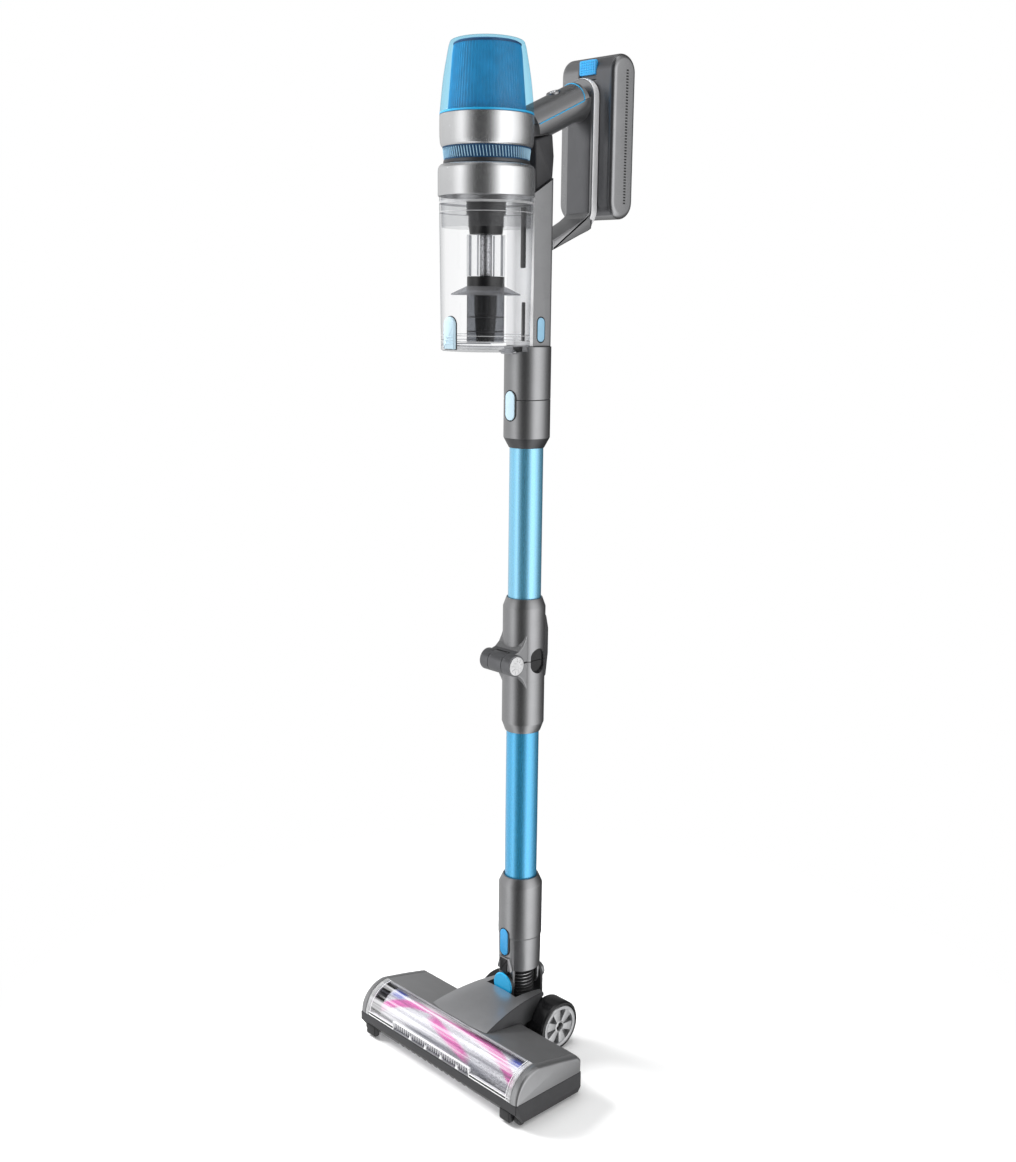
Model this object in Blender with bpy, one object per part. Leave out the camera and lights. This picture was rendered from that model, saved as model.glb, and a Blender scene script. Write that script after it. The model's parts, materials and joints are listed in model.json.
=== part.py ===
"""Cordless stick vacuum: floor head, swivel neck, folding wand, cyclone handheld and battery.

The head points along -Y, the battery along +Y, +X is the right side seen from the front, and
z = 0 is the floor. Lengths are in metres.
"""
import math

import bmesh
import bpy
from mathutils import Matrix, Vector

# Clearance between touching pieces
GAP = 0.0003

# Axes that the rest hangs on
TUBE_Y = 0.0065
CUP_Y = TUBE_Y - 0.0588

# Floor head
HEAD_HALF = 0.127
HEAD_FRONT = -0.120
HEAD_REAR = -0.0245
BASE_BOTTOM = 0.003
LIP_Z = 0.026
WINDOW_HALF = 0.1182
WINDOW_TOP = 0.0575
ROLLER_Y = -0.087
ROLLER_Z = 0.0262
ROLLER_RADIUS = 0.0242
WHEEL_RADIUS = 0.0285
WHEEL_STEPS = 28
WHEEL_IN = 0.0282
WHEEL_OUT = 0.054
AXLE_Y = 0.0185
AXLE_Z = WHEEL_RADIUS * math.cos(math.pi / WHEEL_STEPS)
CASTER_RADIUS = 0.0065
CASTER_STEPS = 16

# Neck
BARREL_RADIUS = 0.0200
BARREL_HALF = 0.0220
CHEEK_OUT = 0.0275
ROLL_Z = 0.0715
EAR_RADIUS = 0.0135
COLLAR_RADIUS = 0.0240
COLLAR_BOTTOM = 0.0900
COLLAR_TOP = 0.1976
HOSE_RADIUS = 0.0162

# Wand
TUBE_RADIUS = 0.0175
TUBE_WALL = 0.0015
FOLD_BOTTOM = 0.3643
FOLD_TOP = 0.5109
FOLD_RADIUS = 0.0226
FOLD_Y = TUBE_Y - 0.0320
FOLD_Z = 0.4445
KNUCKLE_RADIUS = 0.0115
KNUCKLE_HALF = 0.0220
COUPLING_BOTTOM = 0.6686
COUPLING_TOP = 0.7183
NOZZLE_TOP = 0.7714
COUPLING_BUTTON_Z = 0.7120

# Dust cup, cyclone and motor stack
CUP_RADIUS_TOP = 0.0456
CUP_RADIUS_LOW = 0.0437
CUP_WALL = 0.0020
CUP_BOTTOM = 0.7678
CUP_TOP = 0.9136
CUP_COLLAR_TOP = 0.9436
FIN_TOP = 0.9588
MOTOR_COLLAR_TOP = 0.9886
CAP_TOP = 1.0593
LID_HINGE_Y = TUBE_Y - 0.0285
LID_HINGE_Z = 0.7664
LID_HEEL = 0.0018

# Spine, handle and battery
SPINE_HALF = 0.0195
SPINE_FRONT = TUBE_Y - 0.0122
SPINE_REAR = TUBE_Y + 0.0160
SPINE_TOP = 0.9360
ARM_RADIUS = 0.0180
ARM_SLOPE = math.radians(24)
LEG_FRONT = TUBE_Y + 0.0685
LEG_REAR = TUBE_Y + 0.0745
PLATE_REAR = TUBE_Y + 0.0780
BATTERY_HALF = 0.0370
BATTERY_FRONT = PLATE_REAR + GAP
BATTERY_REAR = 0.120
BATTERY_BOTTOM = 0.8990
BATTERY_TOP = 1.0600

AXIS_TURN = {
    "X": Matrix.Rotation(math.radians(90), 4, "Y"),
    "Y": Matrix.Rotation(math.radians(-90), 4, "X"),
    "Z": Matrix.Identity(4),
}
FINISHES = {
    "light_grey": ((0.36, 0.37, 0.39), 0.34, 0.35),
    "mid_grey": ((0.17, 0.175, 0.185), 0.38, 0.30),
    "dark_grey": ((0.05, 0.05, 0.055), 0.45, 0.0),
    "black": ((0.018, 0.018, 0.02), 0.5, 0.0),
    "silver": ((0.60, 0.61, 0.63), 0.28, 0.85),
    "steel": ((0.55, 0.55, 0.56), 0.25, 1.0),
    "blue_anodised": ((0.03, 0.38, 0.72), 0.28, 0.8),
    "blue": ((0.03, 0.36, 0.78), 0.35, 0.0),
    "clear_blue": ((0.02, 0.25, 0.55), 0.08, 0.0),
    "clear": ((0.85, 0.87, 0.88), 0.05, 0.0),
    "rubber": ((0.02, 0.02, 0.02), 0.75, 0.0),
    "plush": ((0.72, 0.72, 0.76), 0.95, 0.0),
    "board": ((0.02, 0.16, 0.07), 0.55, 0.0),
    "copper": ((0.55, 0.25, 0.12), 0.35, 0.9),
}


def clear_scene():
    """Remove the objects that a new file starts with."""
    for item in list(bpy.data.objects):
        bpy.data.objects.remove(item, do_unlink=True)


def make_material(name, finish):
    """Give a sub-part its own Principled material."""
    colour, roughness, metallic = FINISHES[finish]
    result = bpy.data.materials.new(name + "_material")
    result.use_nodes = True
    shader = result.node_tree.nodes["Principled BSDF"]
    shader.inputs["Base Color"].default_value = (*colour, 1.0)
    shader.inputs["Roughness"].default_value = roughness
    shader.inputs["Metallic"].default_value = metallic
    return result


def add_object(name, bm, finish, place=(0, 0, 0), axis="Z"):
    """Turn a bmesh into a named object at a place, with its local Z along an axis."""
    bmesh.ops.recalc_face_normals(bm, faces=bm.faces)
    mesh = bpy.data.meshes.new(name)
    bm.to_mesh(mesh)
    bm.free()
    mesh.shade_smooth()
    mesh.set_sharp_from_angle(angle=math.radians(32))
    item = bpy.data.objects.new(name, mesh)
    bpy.context.scene.collection.objects.link(item)
    item.matrix_world = Matrix.Translation(place) @ AXIS_TURN[axis]
    if finish is None:
        item.hide_render = True
        item.display_type = "WIRE"
    else:
        mesh.materials.append(make_material(name, finish))
    return item


def turned(name, profile, finish, place=(0, 0, 0), axis="Z", steps=28, hollow=False):
    """Turn (radius, height) points about an axis; a hollow profile closes on itself."""
    bm = bmesh.new()
    rings = []
    for radius, height in profile:
        if radius == 0:
            rings.append([bm.verts.new((0, 0, height))])
            continue
        angles = [2 * math.pi * (i + 0.5) / steps for i in range(steps)]
        points = [(radius * math.cos(a), radius * math.sin(a), height) for a in angles]
        rings.append([bm.verts.new(p) for p in points])
    pairs = list(zip(rings, rings[1:]))
    if hollow:
        pairs.append((rings[-1], rings[0]))
    for low, high in pairs:
        if len(low) == 1 and len(high) == 1:
            continue
        for i in range(steps):
            j = (i + 1) % steps
            corners = [low[i % len(low)], low[j % len(low)], high[j % len(high)], high[i % len(high)]]
            bm.faces.new(list(dict.fromkeys(corners)))
    return add_object(name, bm, finish, place, axis)


def rod(name, radius, low, high, finish, place=(0, 0, 0), axis="Z", steps=20):
    """A plain round bar from low to high along its axis."""
    return turned(name, [(0, low), (radius, low), (radius, high), (0, high)], finish, place, axis, steps)


def ring(name, inner, outer, low, high, finish, place=(0, 0, 0), axis="Z", steps=28):
    """A plain sleeve from low to high along its axis."""
    profile = [(inner, low), (outer, low), (outer, high), (inner, high)]
    return turned(name, profile, finish, place, axis, steps, hollow=True)


def loft(name, sections, finish):
    """Skin closed outlines with equal point counts, and cap both ends."""
    bm = bmesh.new()
    rings = [[bm.verts.new(p) for p in section] for section in sections]
    count = len(sections[0])
    for low, high in zip(rings, rings[1:]):
        for i in range(count):
            j = (i + 1) % count
            bm.faces.new([low[i], low[j], high[j], high[i]])
    bm.faces.new(rings[0])
    bm.faces.new(rings[-1])
    return add_object(name, bm, finish)


def prism(name, outline, low, high, finish, axis="X"):
    """Extrude a flat outline: (y, z) points along X, (x, z) along Y, or (x, y) along Z."""
    order = {"X": lambda a, b, h: (h, a, b), "Y": lambda a, b, h: (a, h, b), "Z": lambda a, b, h: (a, b, h)}
    sections = [[order[axis](a, b, h) for a, b in outline] for h in (low, high)]
    return loft(name, sections, finish)


def block(name, low, high, finish, bevel=0.0, segments=1):
    """A box between two corners with its edges bevelled."""
    bm = bmesh.new()
    bmesh.ops.create_cube(bm, size=1.0)
    size = Vector(high) - Vector(low)
    middle = (Vector(high) + Vector(low)) / 2
    bmesh.ops.scale(bm, vec=size, verts=bm.verts)
    bmesh.ops.translate(bm, vec=middle, verts=bm.verts)
    if bevel:
        bmesh.ops.bevel(bm, geom=bm.edges[:], offset=bevel, segments=segments, affect="EDGES", profile=0.5)
    return add_object(name, bm, finish)


def arc(centre, radius, start, end, steps):
    """Points along a circular arc, angles in degrees."""
    angles = [math.radians(start + (end - start) * i / steps) for i in range(steps + 1)]
    return [(centre[0] + radius * math.cos(a), centre[1] + radius * math.sin(a)) for a in angles]


def stadium(half_width, low, high, steps=8, centre=0.0):
    """An upright outline with round ends."""
    top = arc((centre, high - half_width), half_width, 0, 180, steps)
    bottom = arc((centre, low + half_width), half_width, 180, 360, steps)
    return top + bottom


def combine(target, tool, operation):
    """Add a Boolean with a tool that stays hidden."""
    step = target.modifiers.new(tool.name, "BOOLEAN")
    step.operation = operation
    step.solver = "EXACT"
    step.object = tool


def cut(target, *tools):
    for tool in tools:
        combine(target, tool, "DIFFERENCE")


def weld(target, *tools):
    for tool in tools:
        combine(target, tool, "UNION")


def head_profile(offset=0.0):
    """Side outline of the head above its lip, from the front lip over the brush to the rear."""
    front = WINDOW_TOP - LIP_Z - offset
    crown = arc((HEAD_FRONT + 0.0315, LIP_Z), front, 180, 90, 8)
    rear = [(-0.055, 0.0505 - offset), (HEAD_REAR - 0.004 - offset, 0.0440 - offset)]
    corner = [(HEAD_REAR - offset, 0.0395 - offset), (HEAD_REAR - offset, LIP_Z + GAP)]
    return crown + rear + corner


def build_head_shells():
    """Base, cover, clear brush window, side caps and the hump over the air duct."""
    front_edge = [(HEAD_FRONT, LIP_Z), (HEAD_FRONT, 0.016), (HEAD_FRONT + 0.010, BASE_BOTTOM)]
    rear_edge = [(HEAD_REAR - 0.004, BASE_BOTTOM), (HEAD_REAR, 0.008), (HEAD_REAR, LIP_Z)]
    base = prism("head_base", front_edge + rear_edge, -HEAD_HALF, HEAD_HALF, "dark_grey")
    cheek = arc((AXLE_Y, AXLE_Z), 0.0150, -90, 90, 8) + [(HEAD_REAR - 0.001, 0.040), (HEAD_REAR - 0.001, 0.006)]
    tail = prism("tool_tail", cheek, -CHEEK_OUT, CHEEK_OUT, None)
    mouth = block("tool_mouth", (-0.1165, -0.1140, -0.01), (0.1165, -0.0600, 0.05), None)
    throat = block("tool_throat", (-0.0215, -0.0610, 0.0075), (0.0215, HEAD_REAR + 0.005, 0.05), None)
    barrel_room = rod("tool_barrel_room", BARREL_RADIUS + 0.0008, -BARREL_HALF - GAP, BARREL_HALF + GAP, None,
                      (0, AXLE_Y, AXLE_Z), "X", 32)
    barrel_way = block("tool_barrel_way", (-BARREL_HALF - GAP, AXLE_Y - 0.045, AXLE_Z),
                       (BARREL_HALF + GAP, 0.06, 0.06), None)
    rear_way = block("tool_rear_way", (-BARREL_HALF - GAP, AXLE_Y - 0.006, -0.01),
                     (BARREL_HALF + GAP, 0.06, 0.06), None)
    weld(base, tail)
    cut(base, mouth, throat, barrel_room, barrel_way, rear_way)
    for side, label in ((-1, "left"), (1, "right")):
        near, far = sorted((side * 0.0265, side * 0.1165))
        bay = block("tool_bay_" + label, (near, -0.0570, 0.0085), (far, HEAD_REAR - 0.003, 0.05), None)
        cut(base, bay)
        near, far = sorted((side * 0.1175, side * 0.1250))
        pocket = block("tool_caster_" + label, (near, -0.1175, -0.01), (far, -0.1000, 0.0145), None)
        cut(base, pocket)
    belt_way = block("tool_belt_way", (-0.1165, -0.0610, 0.0085), (-0.1060, -0.0560, 0.05), None)
    axle_way = rod("tool_axle_way", 0.0023, -0.03, 0.03, None, (0, AXLE_Y, AXLE_Z), "X", 16)
    cut(base, belt_way, axle_way)

    window_outer = arc((HEAD_FRONT + 0.0315, LIP_Z + GAP), 0.0312, 180, 90, 10)
    window_inner = arc((HEAD_FRONT + 0.0315, LIP_Z + GAP), 0.0290, 90, 180, 10)
    prism("brush_window", window_outer + window_inner, -WINDOW_HALF, WINDOW_HALF, "clear")

    top = [(HEAD_FRONT + 0.0318, WINDOW_TOP), (-0.055, 0.0505), (HEAD_REAR - 0.004, 0.0440)]
    back = [(HEAD_REAR, 0.0395), (HEAD_REAR, LIP_Z + GAP), (HEAD_REAR - 0.0025, LIP_Z + GAP)]
    under = [(HEAD_REAR - 0.0025, 0.0390), (HEAD_REAR - 0.006, 0.0415), (-0.055, 0.0480)]
    front = [(HEAD_FRONT + 0.0318, 0.0550)]
    cover = prism("head_cover", top + back + under + front, -WINDOW_HALF, WINDOW_HALF, "mid_grey")
    duct_way = block("tool_duct_way", (-CHEEK_OUT - GAP, HEAD_REAR - 0.008, 0.0),
                     (CHEEK_OUT + GAP, HEAD_REAR + 0.002, 0.0404), None)
    cut(cover, duct_way)

    cap_outline = head_profile() + [(HEAD_FRONT, LIP_Z + GAP)]
    for side, label in ((-1, "left"), (1, "right")):
        near, far = sorted((side * (WINDOW_HALF + GAP), side * HEAD_HALF))
        prism("side_cap_" + label, cap_outline[1:], near, far, "mid_grey")

    hump = loft("duct_hump", [hump_section(y) for y in (-0.0845, -0.065, -0.045, -0.025, 0.0, 0.016)], "light_grey")
    over_cover = head_profile(-GAP)[8:] + [(HEAD_REAR + GAP, 0.0), (HEAD_FRONT + 0.0315, 0.0)]
    cover_room = prism("tool_cover_room", over_cover, -0.13, 0.13, None)
    inner = prism("tool_hump_duct", [(HEAD_REAR - 0.02, 0.0), (HEAD_REAR + 0.02, 0.0), (HEAD_REAR + 0.02, 0.044),
                                     (HEAD_REAR - 0.02, 0.044)], -0.0215, 0.0215, None)
    neck_way = block("tool_neck_way", (-BARREL_HALF - 0.0012, -0.0215, 0.0), (BARREL_HALF + 0.0012, 0.06, 0.09), None)
    tail_room = prism("tool_tail_room", arc((AXLE_Y, AXLE_Z), 0.0153, -90, 90, 8)
                      + [(HEAD_REAR - 0.002, 0.0403), (HEAD_REAR - 0.002, 0.0)],
                      -CHEEK_OUT - GAP, CHEEK_OUT + GAP, None)
    cut(hump, cover_room, tail_room, inner, neck_way)
    for near, far, label in ((-0.06, -WHEEL_IN + GAP, "left"), (WHEEL_IN - GAP, 0.06, "right")):
        cut(hump, rod("tool_wheel_room_" + label, WHEEL_RADIUS + 0.0020, near, far, None, (0, AXLE_Y, AXLE_Z), "X", 32))


def hump_section(y):
    """Arched cross-section of the duct hump at one place along the head."""
    share = (y + 0.0845) / 0.1005
    half = 0.040 - 0.010 * share
    top = 0.0590 + 0.0085 * math.sin(math.pi * min(1.0, 0.25 + share * 0.6)) - 0.0065 * max(0.0, share - 0.55)
    low = 0.040 + 0.004 * share
    count = 10
    arch = []
    for i in range(count + 1):
        angle = math.pi * i / count
        arch.append((half * math.cos(angle), y, low + (top - low) * math.sin(angle) ** 0.7))
    return arch


def build_brush():
    """Brush roller with its drive pulley, the brush motor, the belt and the casters."""
    spot = (0, ROLLER_Y, ROLLER_Z)
    core = [(0, -0.1135), (0.0040, -0.1135), (0.0040, -0.1120), (0.0105, -0.1120), (0.0105, -0.1060),
            (0.0175, -0.1055), (0.0175, 0.1120), (0.0040, 0.1125), (0.0040, 0.1150), (0, 0.1150)]
    turned("roller_core", core, "black", spot, "X", 20)
    ring("roller_sleeve", 0.0175 + GAP, ROLLER_RADIUS, -0.1040, 0.1110, "plush", spot, "X", 28)
    motor_spot = (0, -0.0415, 0.0255)
    turned("brush_motor", [(0, -0.1040), (0.0016, -0.1040), (0.0016, -0.1000), (0.0135, -0.0995), (0.0135, -0.0500),
                           (0, -0.0500)], "steel", motor_spot, "X", 20)
    turned("motor_pulley", [(0.0020, -0.1115), (0.0058, -0.1115), (0.0058, -0.1045), (0.0020, -0.1045)], "black",
           motor_spot, "X", 16, hollow=True)
    build_belt(motor_spot)
    caster_z = CASTER_RADIUS * math.cos(math.pi / CASTER_STEPS)
    for side, label in ((-1, "left"), (1, "right")):
        near, far = sorted((side * 0.1180, side * 0.1245))
        rod("front_caster_" + label, CASTER_RADIUS, near, far, "dark_grey", (0, -0.1085, caster_z), "X", CASTER_STEPS)
    block("head_board", (0.045, -0.0545, 0.0200), (0.095, -0.0315, 0.0216), "board")


def build_belt(motor_spot):
    """Toothed belt as a flat loop round both pulleys."""
    y0, z0, r0 = ROLLER_Y, ROLLER_Z, 0.0105 + GAP
    y1, z1, r1 = motor_spot[1], motor_spot[2], 0.0058 + GAP
    thickness = 0.0012
    tilt = math.degrees(math.atan2(z1 - z0, y1 - y0))
    lean = math.degrees(math.asin((r0 - r1) / math.hypot(y1 - y0, z1 - z0)))

    def loop(extra):
        big = arc((y0, z0), r0 + extra, tilt + 90 - lean, tilt + 270 + lean, 10)
        small = arc((y1, z1), r1 + extra, tilt - 90 + lean, tilt + 90 - lean, 8)
        return big + small

    belt = prism("drive_belt", loop(thickness), -0.1110, -0.1065, "rubber")
    hole = prism("tool_belt_hole", loop(0.0), -0.12, -0.10, None)
    cut(belt, hole)


def build_wheels():
    """Rear wheels on one steel axle through the neck barrel."""
    centre = (0, AXLE_Y, AXLE_Z)
    rod("wheel_axle", 0.0020, -0.0500, 0.0500, "steel", centre, "X", 16)
    for side, label in ((-1, "left"), (1, "right")):
        inner, outer = WHEEL_IN * side, WHEEL_OUT * side
        hub = [(0.0023, inner), (0.0230, inner), (0.0250, outer - 0.003 * side), (0.0235, outer), (0.0060, outer),
               (0.0023, outer - 0.001 * side)]
        turned("wheel_hub_" + label, hub, "silver", centre, "X", WHEEL_STEPS, hollow=True)
        tyre = [(0.0230 + GAP, inner), (WHEEL_RADIUS - 0.002, inner), (WHEEL_RADIUS, inner + 0.003 * side),
                (WHEEL_RADIUS, outer - 0.003 * side), (WHEEL_RADIUS - 0.002, outer - 0.0005 * side),
                (0.0250 + GAP, outer - 0.0005 * side), (0.0250 + GAP, outer - 0.003 * side)]
        turned("wheel_tyre_" + label, tyre, "rubber", centre, "X", WHEEL_STEPS, hollow=True)


def build_neck():
    """Pitch barrel with its ears, the roll pivots, the ribbed hose and the wand collar."""
    yoke = rod("neck_yoke", BARREL_RADIUS, -BARREL_HALF, BARREL_HALF, "dark_grey", (0, AXLE_Y, AXLE_Z), "X", 32)
    foot = block("tool_yoke_foot", (-0.0175, TUBE_Y - 0.0242, 0.0375), (0.0175, TUBE_Y + 0.0242, 0.0525), None)
    weld(yoke, foot)
    ear = [(EAR_RADIUS * s, 0.045) for s in (-1, 1)] + arc((0, ROLL_Z), EAR_RADIUS, 0, 180, 10)
    for sign, label in ((-1, "front"), (1, "rear")):
        low, high = sorted((TUBE_Y + sign * 0.0207, TUBE_Y + sign * 0.0242))
        plate = prism("tool_ear_" + label, ear, low, high, None, "Y")
        weld(yoke, plate)
        low, high = sorted((TUBE_Y + sign * 0.0165, TUBE_Y + sign * 0.0300))
        cut(yoke, rod("tool_ear_hole_" + label, 0.0033, low, high, None, (0, 0, ROLL_Z), "Y", 16))
    airway = rod("tool_yoke_air", 0.0140, AXLE_Z, 0.060, None, (0, TUBE_Y, 0), "Z", 24)
    inlet = block("tool_yoke_inlet", (-0.0130, -0.03, 0.0130), (0.0130, AXLE_Y - 0.004, 0.0360), None)
    cut(yoke, airway, inlet, rod("tool_yoke_bore", 0.0023, -0.03, 0.03, None, (0, AXLE_Y, AXLE_Z), "X", 16))

    for sign, label, depth, radius in ((-1, "front", 0.0022, EAR_RADIUS + 0.0005), (1, "rear", 0.0085, 0.0085)):
        face = TUBE_Y + sign * (0.0242 + GAP)
        profile = [(0, sign * depth), (radius - 0.001, sign * depth), (radius, sign * (depth - 0.001)), (radius, 0),
                   (0.0030, 0), (0.0030, -sign * 0.0067), (0, -sign * 0.0067)]
        turned("pivot_cap_" + label, profile, "blue" if sign < 0 else "dark_grey", (0, face, ROLL_Z), "Y", 24)

    folds = 5
    low, high = 0.0530, 0.0885
    outer = []
    for i in range(folds):
        start = low + (high - low) * i / folds
        outer += [(HOSE_RADIUS - 0.0022, start), (HOSE_RADIUS, start + (high - low) / folds / 2)]
    outer += [(HOSE_RADIUS - 0.0022, high), (HOSE_RADIUS - 0.0022, 0.1180)]
    turned("bellows_hose", outer + [(0.0120, 0.1180), (0.0120, low)], "rubber", (0, TUBE_Y, 0), "Z", 20, hollow=True)
    build_collar()


def build_collar():
    """Socket that the lower tube plugs into, with its two roll ears and its release button."""
    wall = [(0.0172, COLLAR_BOTTOM), (COLLAR_RADIUS - 0.0012, COLLAR_BOTTOM), (COLLAR_RADIUS - 0.0008, 0.1280),
            (COLLAR_RADIUS, 0.1290), (COLLAR_RADIUS, 0.1880), (0.0195, COLLAR_TOP),
            (TUBE_RADIUS + GAP, COLLAR_TOP), (TUBE_RADIUS + GAP, 0.1345), (0.0172, 0.1345)]
    collar = turned("neck_collar", wall, "mid_grey", (0, TUBE_Y, 0), "Z", 28, hollow=True)
    ear = [(-0.0110, 0.105), (-0.0110, ROLL_Z)] + arc((0, ROLL_Z), 0.0110, 180, 360, 8) + [(0.0110, 0.105)]
    for sign, label in ((-1, "front"), (1, "rear")):
        low, high = sorted((TUBE_Y + sign * 0.0172, TUBE_Y + sign * 0.0204))
        weld(collar, prism("tool_collar_ear_" + label, ear, low, high, None, "Y"))
        cut(collar, rod("tool_collar_hole_" + label, 0.0033, low - 0.001, high + 0.001, None, (0, 0, ROLL_Z), "Y", 16))
    push_button("collar_button", collar, (0, TUBE_Y - COLLAR_RADIUS, 0.1227), "Y", 0.0062, 0.0156, "blue")


def push_button(name, housing, face, axis, half_width, half_height, finish, travel=0.0025, out=0.0008):
    """Pill button let into a pocket of its housing; the pocket is as deep as the button travels."""
    x, y, z = face
    inward = 1 if axis == "Y" else -1
    start = y if axis == "Y" else x
    centre = x if axis == "Y" else y
    body = stadium(half_width, z - half_height, z + half_height, 6, centre)
    room = stadium(half_width + GAP, z - half_height - GAP, z + half_height + GAP, 6, centre)
    depth = 0.0030
    low, high = sorted((start - inward * out, start + inward * depth))
    prism(name, body, low, high, finish, axis)
    low, high = sorted((start - inward * 0.004, start + inward * (depth + travel)))
    cut(housing, prism("tool_" + name, room, low, high, None, axis))


def build_wand():
    """Lower tube, folding elbow, upper tube and the coupling with its release button."""
    spot = (0, TUBE_Y, 0)
    bore = TUBE_RADIUS - TUBE_WALL
    ring("lower_tube", bore, TUBE_RADIUS, 0.1350, FOLD_BOTTOM + 0.0120, "blue_anodised", spot)
    ring("upper_tube", bore, TUBE_RADIUS, FOLD_TOP - 0.0120, COUPLING_BOTTOM + 0.0120, "blue_anodised", spot)
    socket = TUBE_RADIUS + GAP
    build_fold(spot, bore, socket)
    wall = [(socket, COUPLING_BOTTOM), (TUBE_RADIUS + 0.0008, COUPLING_BOTTOM), (COLLAR_RADIUS, COUPLING_BOTTOM + 0.0105),
            (COLLAR_RADIUS, COUPLING_TOP - GAP), (bore, COUPLING_TOP - GAP), (bore, COUPLING_BOTTOM + 0.0125),
            (socket, COUPLING_BOTTOM + 0.0125)]
    coupling = turned("wand_coupling", wall, "mid_grey", spot, "Z", 28, hollow=True)
    nozzle = ring("inlet_nozzle", bore, COLLAR_RADIUS, COUPLING_TOP, NOZZLE_TOP, "mid_grey", spot)
    cup_room = rod("tool_cup_room", CUP_RADIUS_LOW + 0.0012, CUP_BOTTOM - 0.0012, 0.80, None, (0, CUP_Y, 0), "Z", 32)
    cut(nozzle, cup_room)
    push_button("coupling_button", coupling, (0, TUBE_Y - COLLAR_RADIUS, COUPLING_BUTTON_Z), "Y", 0.0068, 0.0150, "blue")
    cut(nozzle, bpy.data.objects["tool_coupling_button"])


def build_fold(spot, bore, socket):
    """Two elbow halves on a steel pin in front of the tube, with the latch lever behind."""
    split = FOLD_Z
    low_wall = [(socket, FOLD_BOTTOM), (0.0190, FOLD_BOTTOM), (FOLD_RADIUS, FOLD_BOTTOM + 0.0100),
                (FOLD_RADIUS, split - GAP), (bore, split - GAP), (bore, FOLD_BOTTOM + 0.0125),
                (socket, FOLD_BOTTOM + 0.0125)]
    high_wall = [(bore, split + GAP), (FOLD_RADIUS, split + GAP), (FOLD_RADIUS, FOLD_TOP - 0.0100), (0.0190, FOLD_TOP),
                 (socket, FOLD_TOP), (socket, FOLD_TOP - 0.0125), (bore, FOLD_TOP - 0.0125)]
    lower = turned("fold_lower", low_wall, "mid_grey", spot, "Z", 28, hollow=True)
    upper = turned("fold_upper", high_wall, "mid_grey", spot, "Z", 28, hollow=True)
    middle = 0.0100
    axis = (0, FOLD_Y, FOLD_Z)
    reach = TUBE_Y - 0.0175
    spans = {"lower": [(-middle, middle)], "upper": [(-KNUCKLE_HALF, -middle - GAP), (middle + GAP, KNUCKLE_HALF)]}
    for half, label, sign in ((lower, "lower", -1), (upper, "upper", 1)):
        for i, (near, far) in enumerate(spans[label]):
            mark = "%s_%d" % (label, i)
            web = [(FOLD_Y, split + sign * 0.0112), (reach, split + sign * 0.0260), (reach, split + sign * GAP),
                   (FOLD_Y, split + sign * GAP)]
            knuckle = rod("tool_knuckle_" + mark, KNUCKLE_RADIUS, near, far, None, axis, "X", 24)
            weld(half, prism("tool_web_" + mark, web, near + 0.0002, far - 0.0002, None), knuckle)
    room_radius = KNUCKLE_RADIUS + 0.0006
    cut(upper, rod("tool_middle_room", room_radius, -middle - GAP / 2, middle + GAP / 2, None, (0, FOLD_Y, FOLD_Z), "X", 24))
    for near, far, label in ((-0.03, -middle - GAP / 2, "left"), (middle + GAP / 2, 0.03, "right")):
        cut(lower, rod("tool_side_room_" + label, room_radius, near, far, None, (0, FOLD_Y, FOLD_Z), "X", 24))
    pin = [(0, -KNUCKLE_HALF - 0.0014), (0.0100, -KNUCKLE_HALF - 0.0014), (0.0100, -KNUCKLE_HALF - GAP),
           (0.0035, -KNUCKLE_HALF - GAP), (0.0035, KNUCKLE_HALF + GAP), (0.0100, KNUCKLE_HALF + GAP),
           (0.0100, KNUCKLE_HALF + 0.0014), (0, KNUCKLE_HALF + 0.0014)]
    turned("fold_pin", pin, "steel", (0, FOLD_Y, FOLD_Z), "X", 24)
    pin_room = rod("tool_pin_room", 0.0038, -0.03, 0.03, None, (0, FOLD_Y, FOLD_Z), "X", 24)
    cut(lower, pin_room)
    cut(upper, pin_room)
    rear = TUBE_Y + FOLD_RADIUS
    hook = [(rear - 0.0010, 0.4170), (rear + 0.0060, 0.4190), (rear + 0.0092, 0.4450), (rear + 0.0092, 0.4720),
            (rear + 0.0055, 0.4880), (rear - 0.0010, 0.4900)]
    prism("fold_lever", hook, -0.0060, 0.0060, "dark_grey")
    for half in (lower, upper):
        room = block("tool_lever_room_" + half.name, (-0.0063, rear - 0.0050, 0.4160), (0.0063, rear + 0.02, 0.4910),
                     None)
        cut(half, room)


def bridge_seam(y):
    """Height of the slanted seam between the spine and the bridge above it."""
    return 0.9355 + 0.585 * (y - SPINE_REAR + 0.0006)


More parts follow.
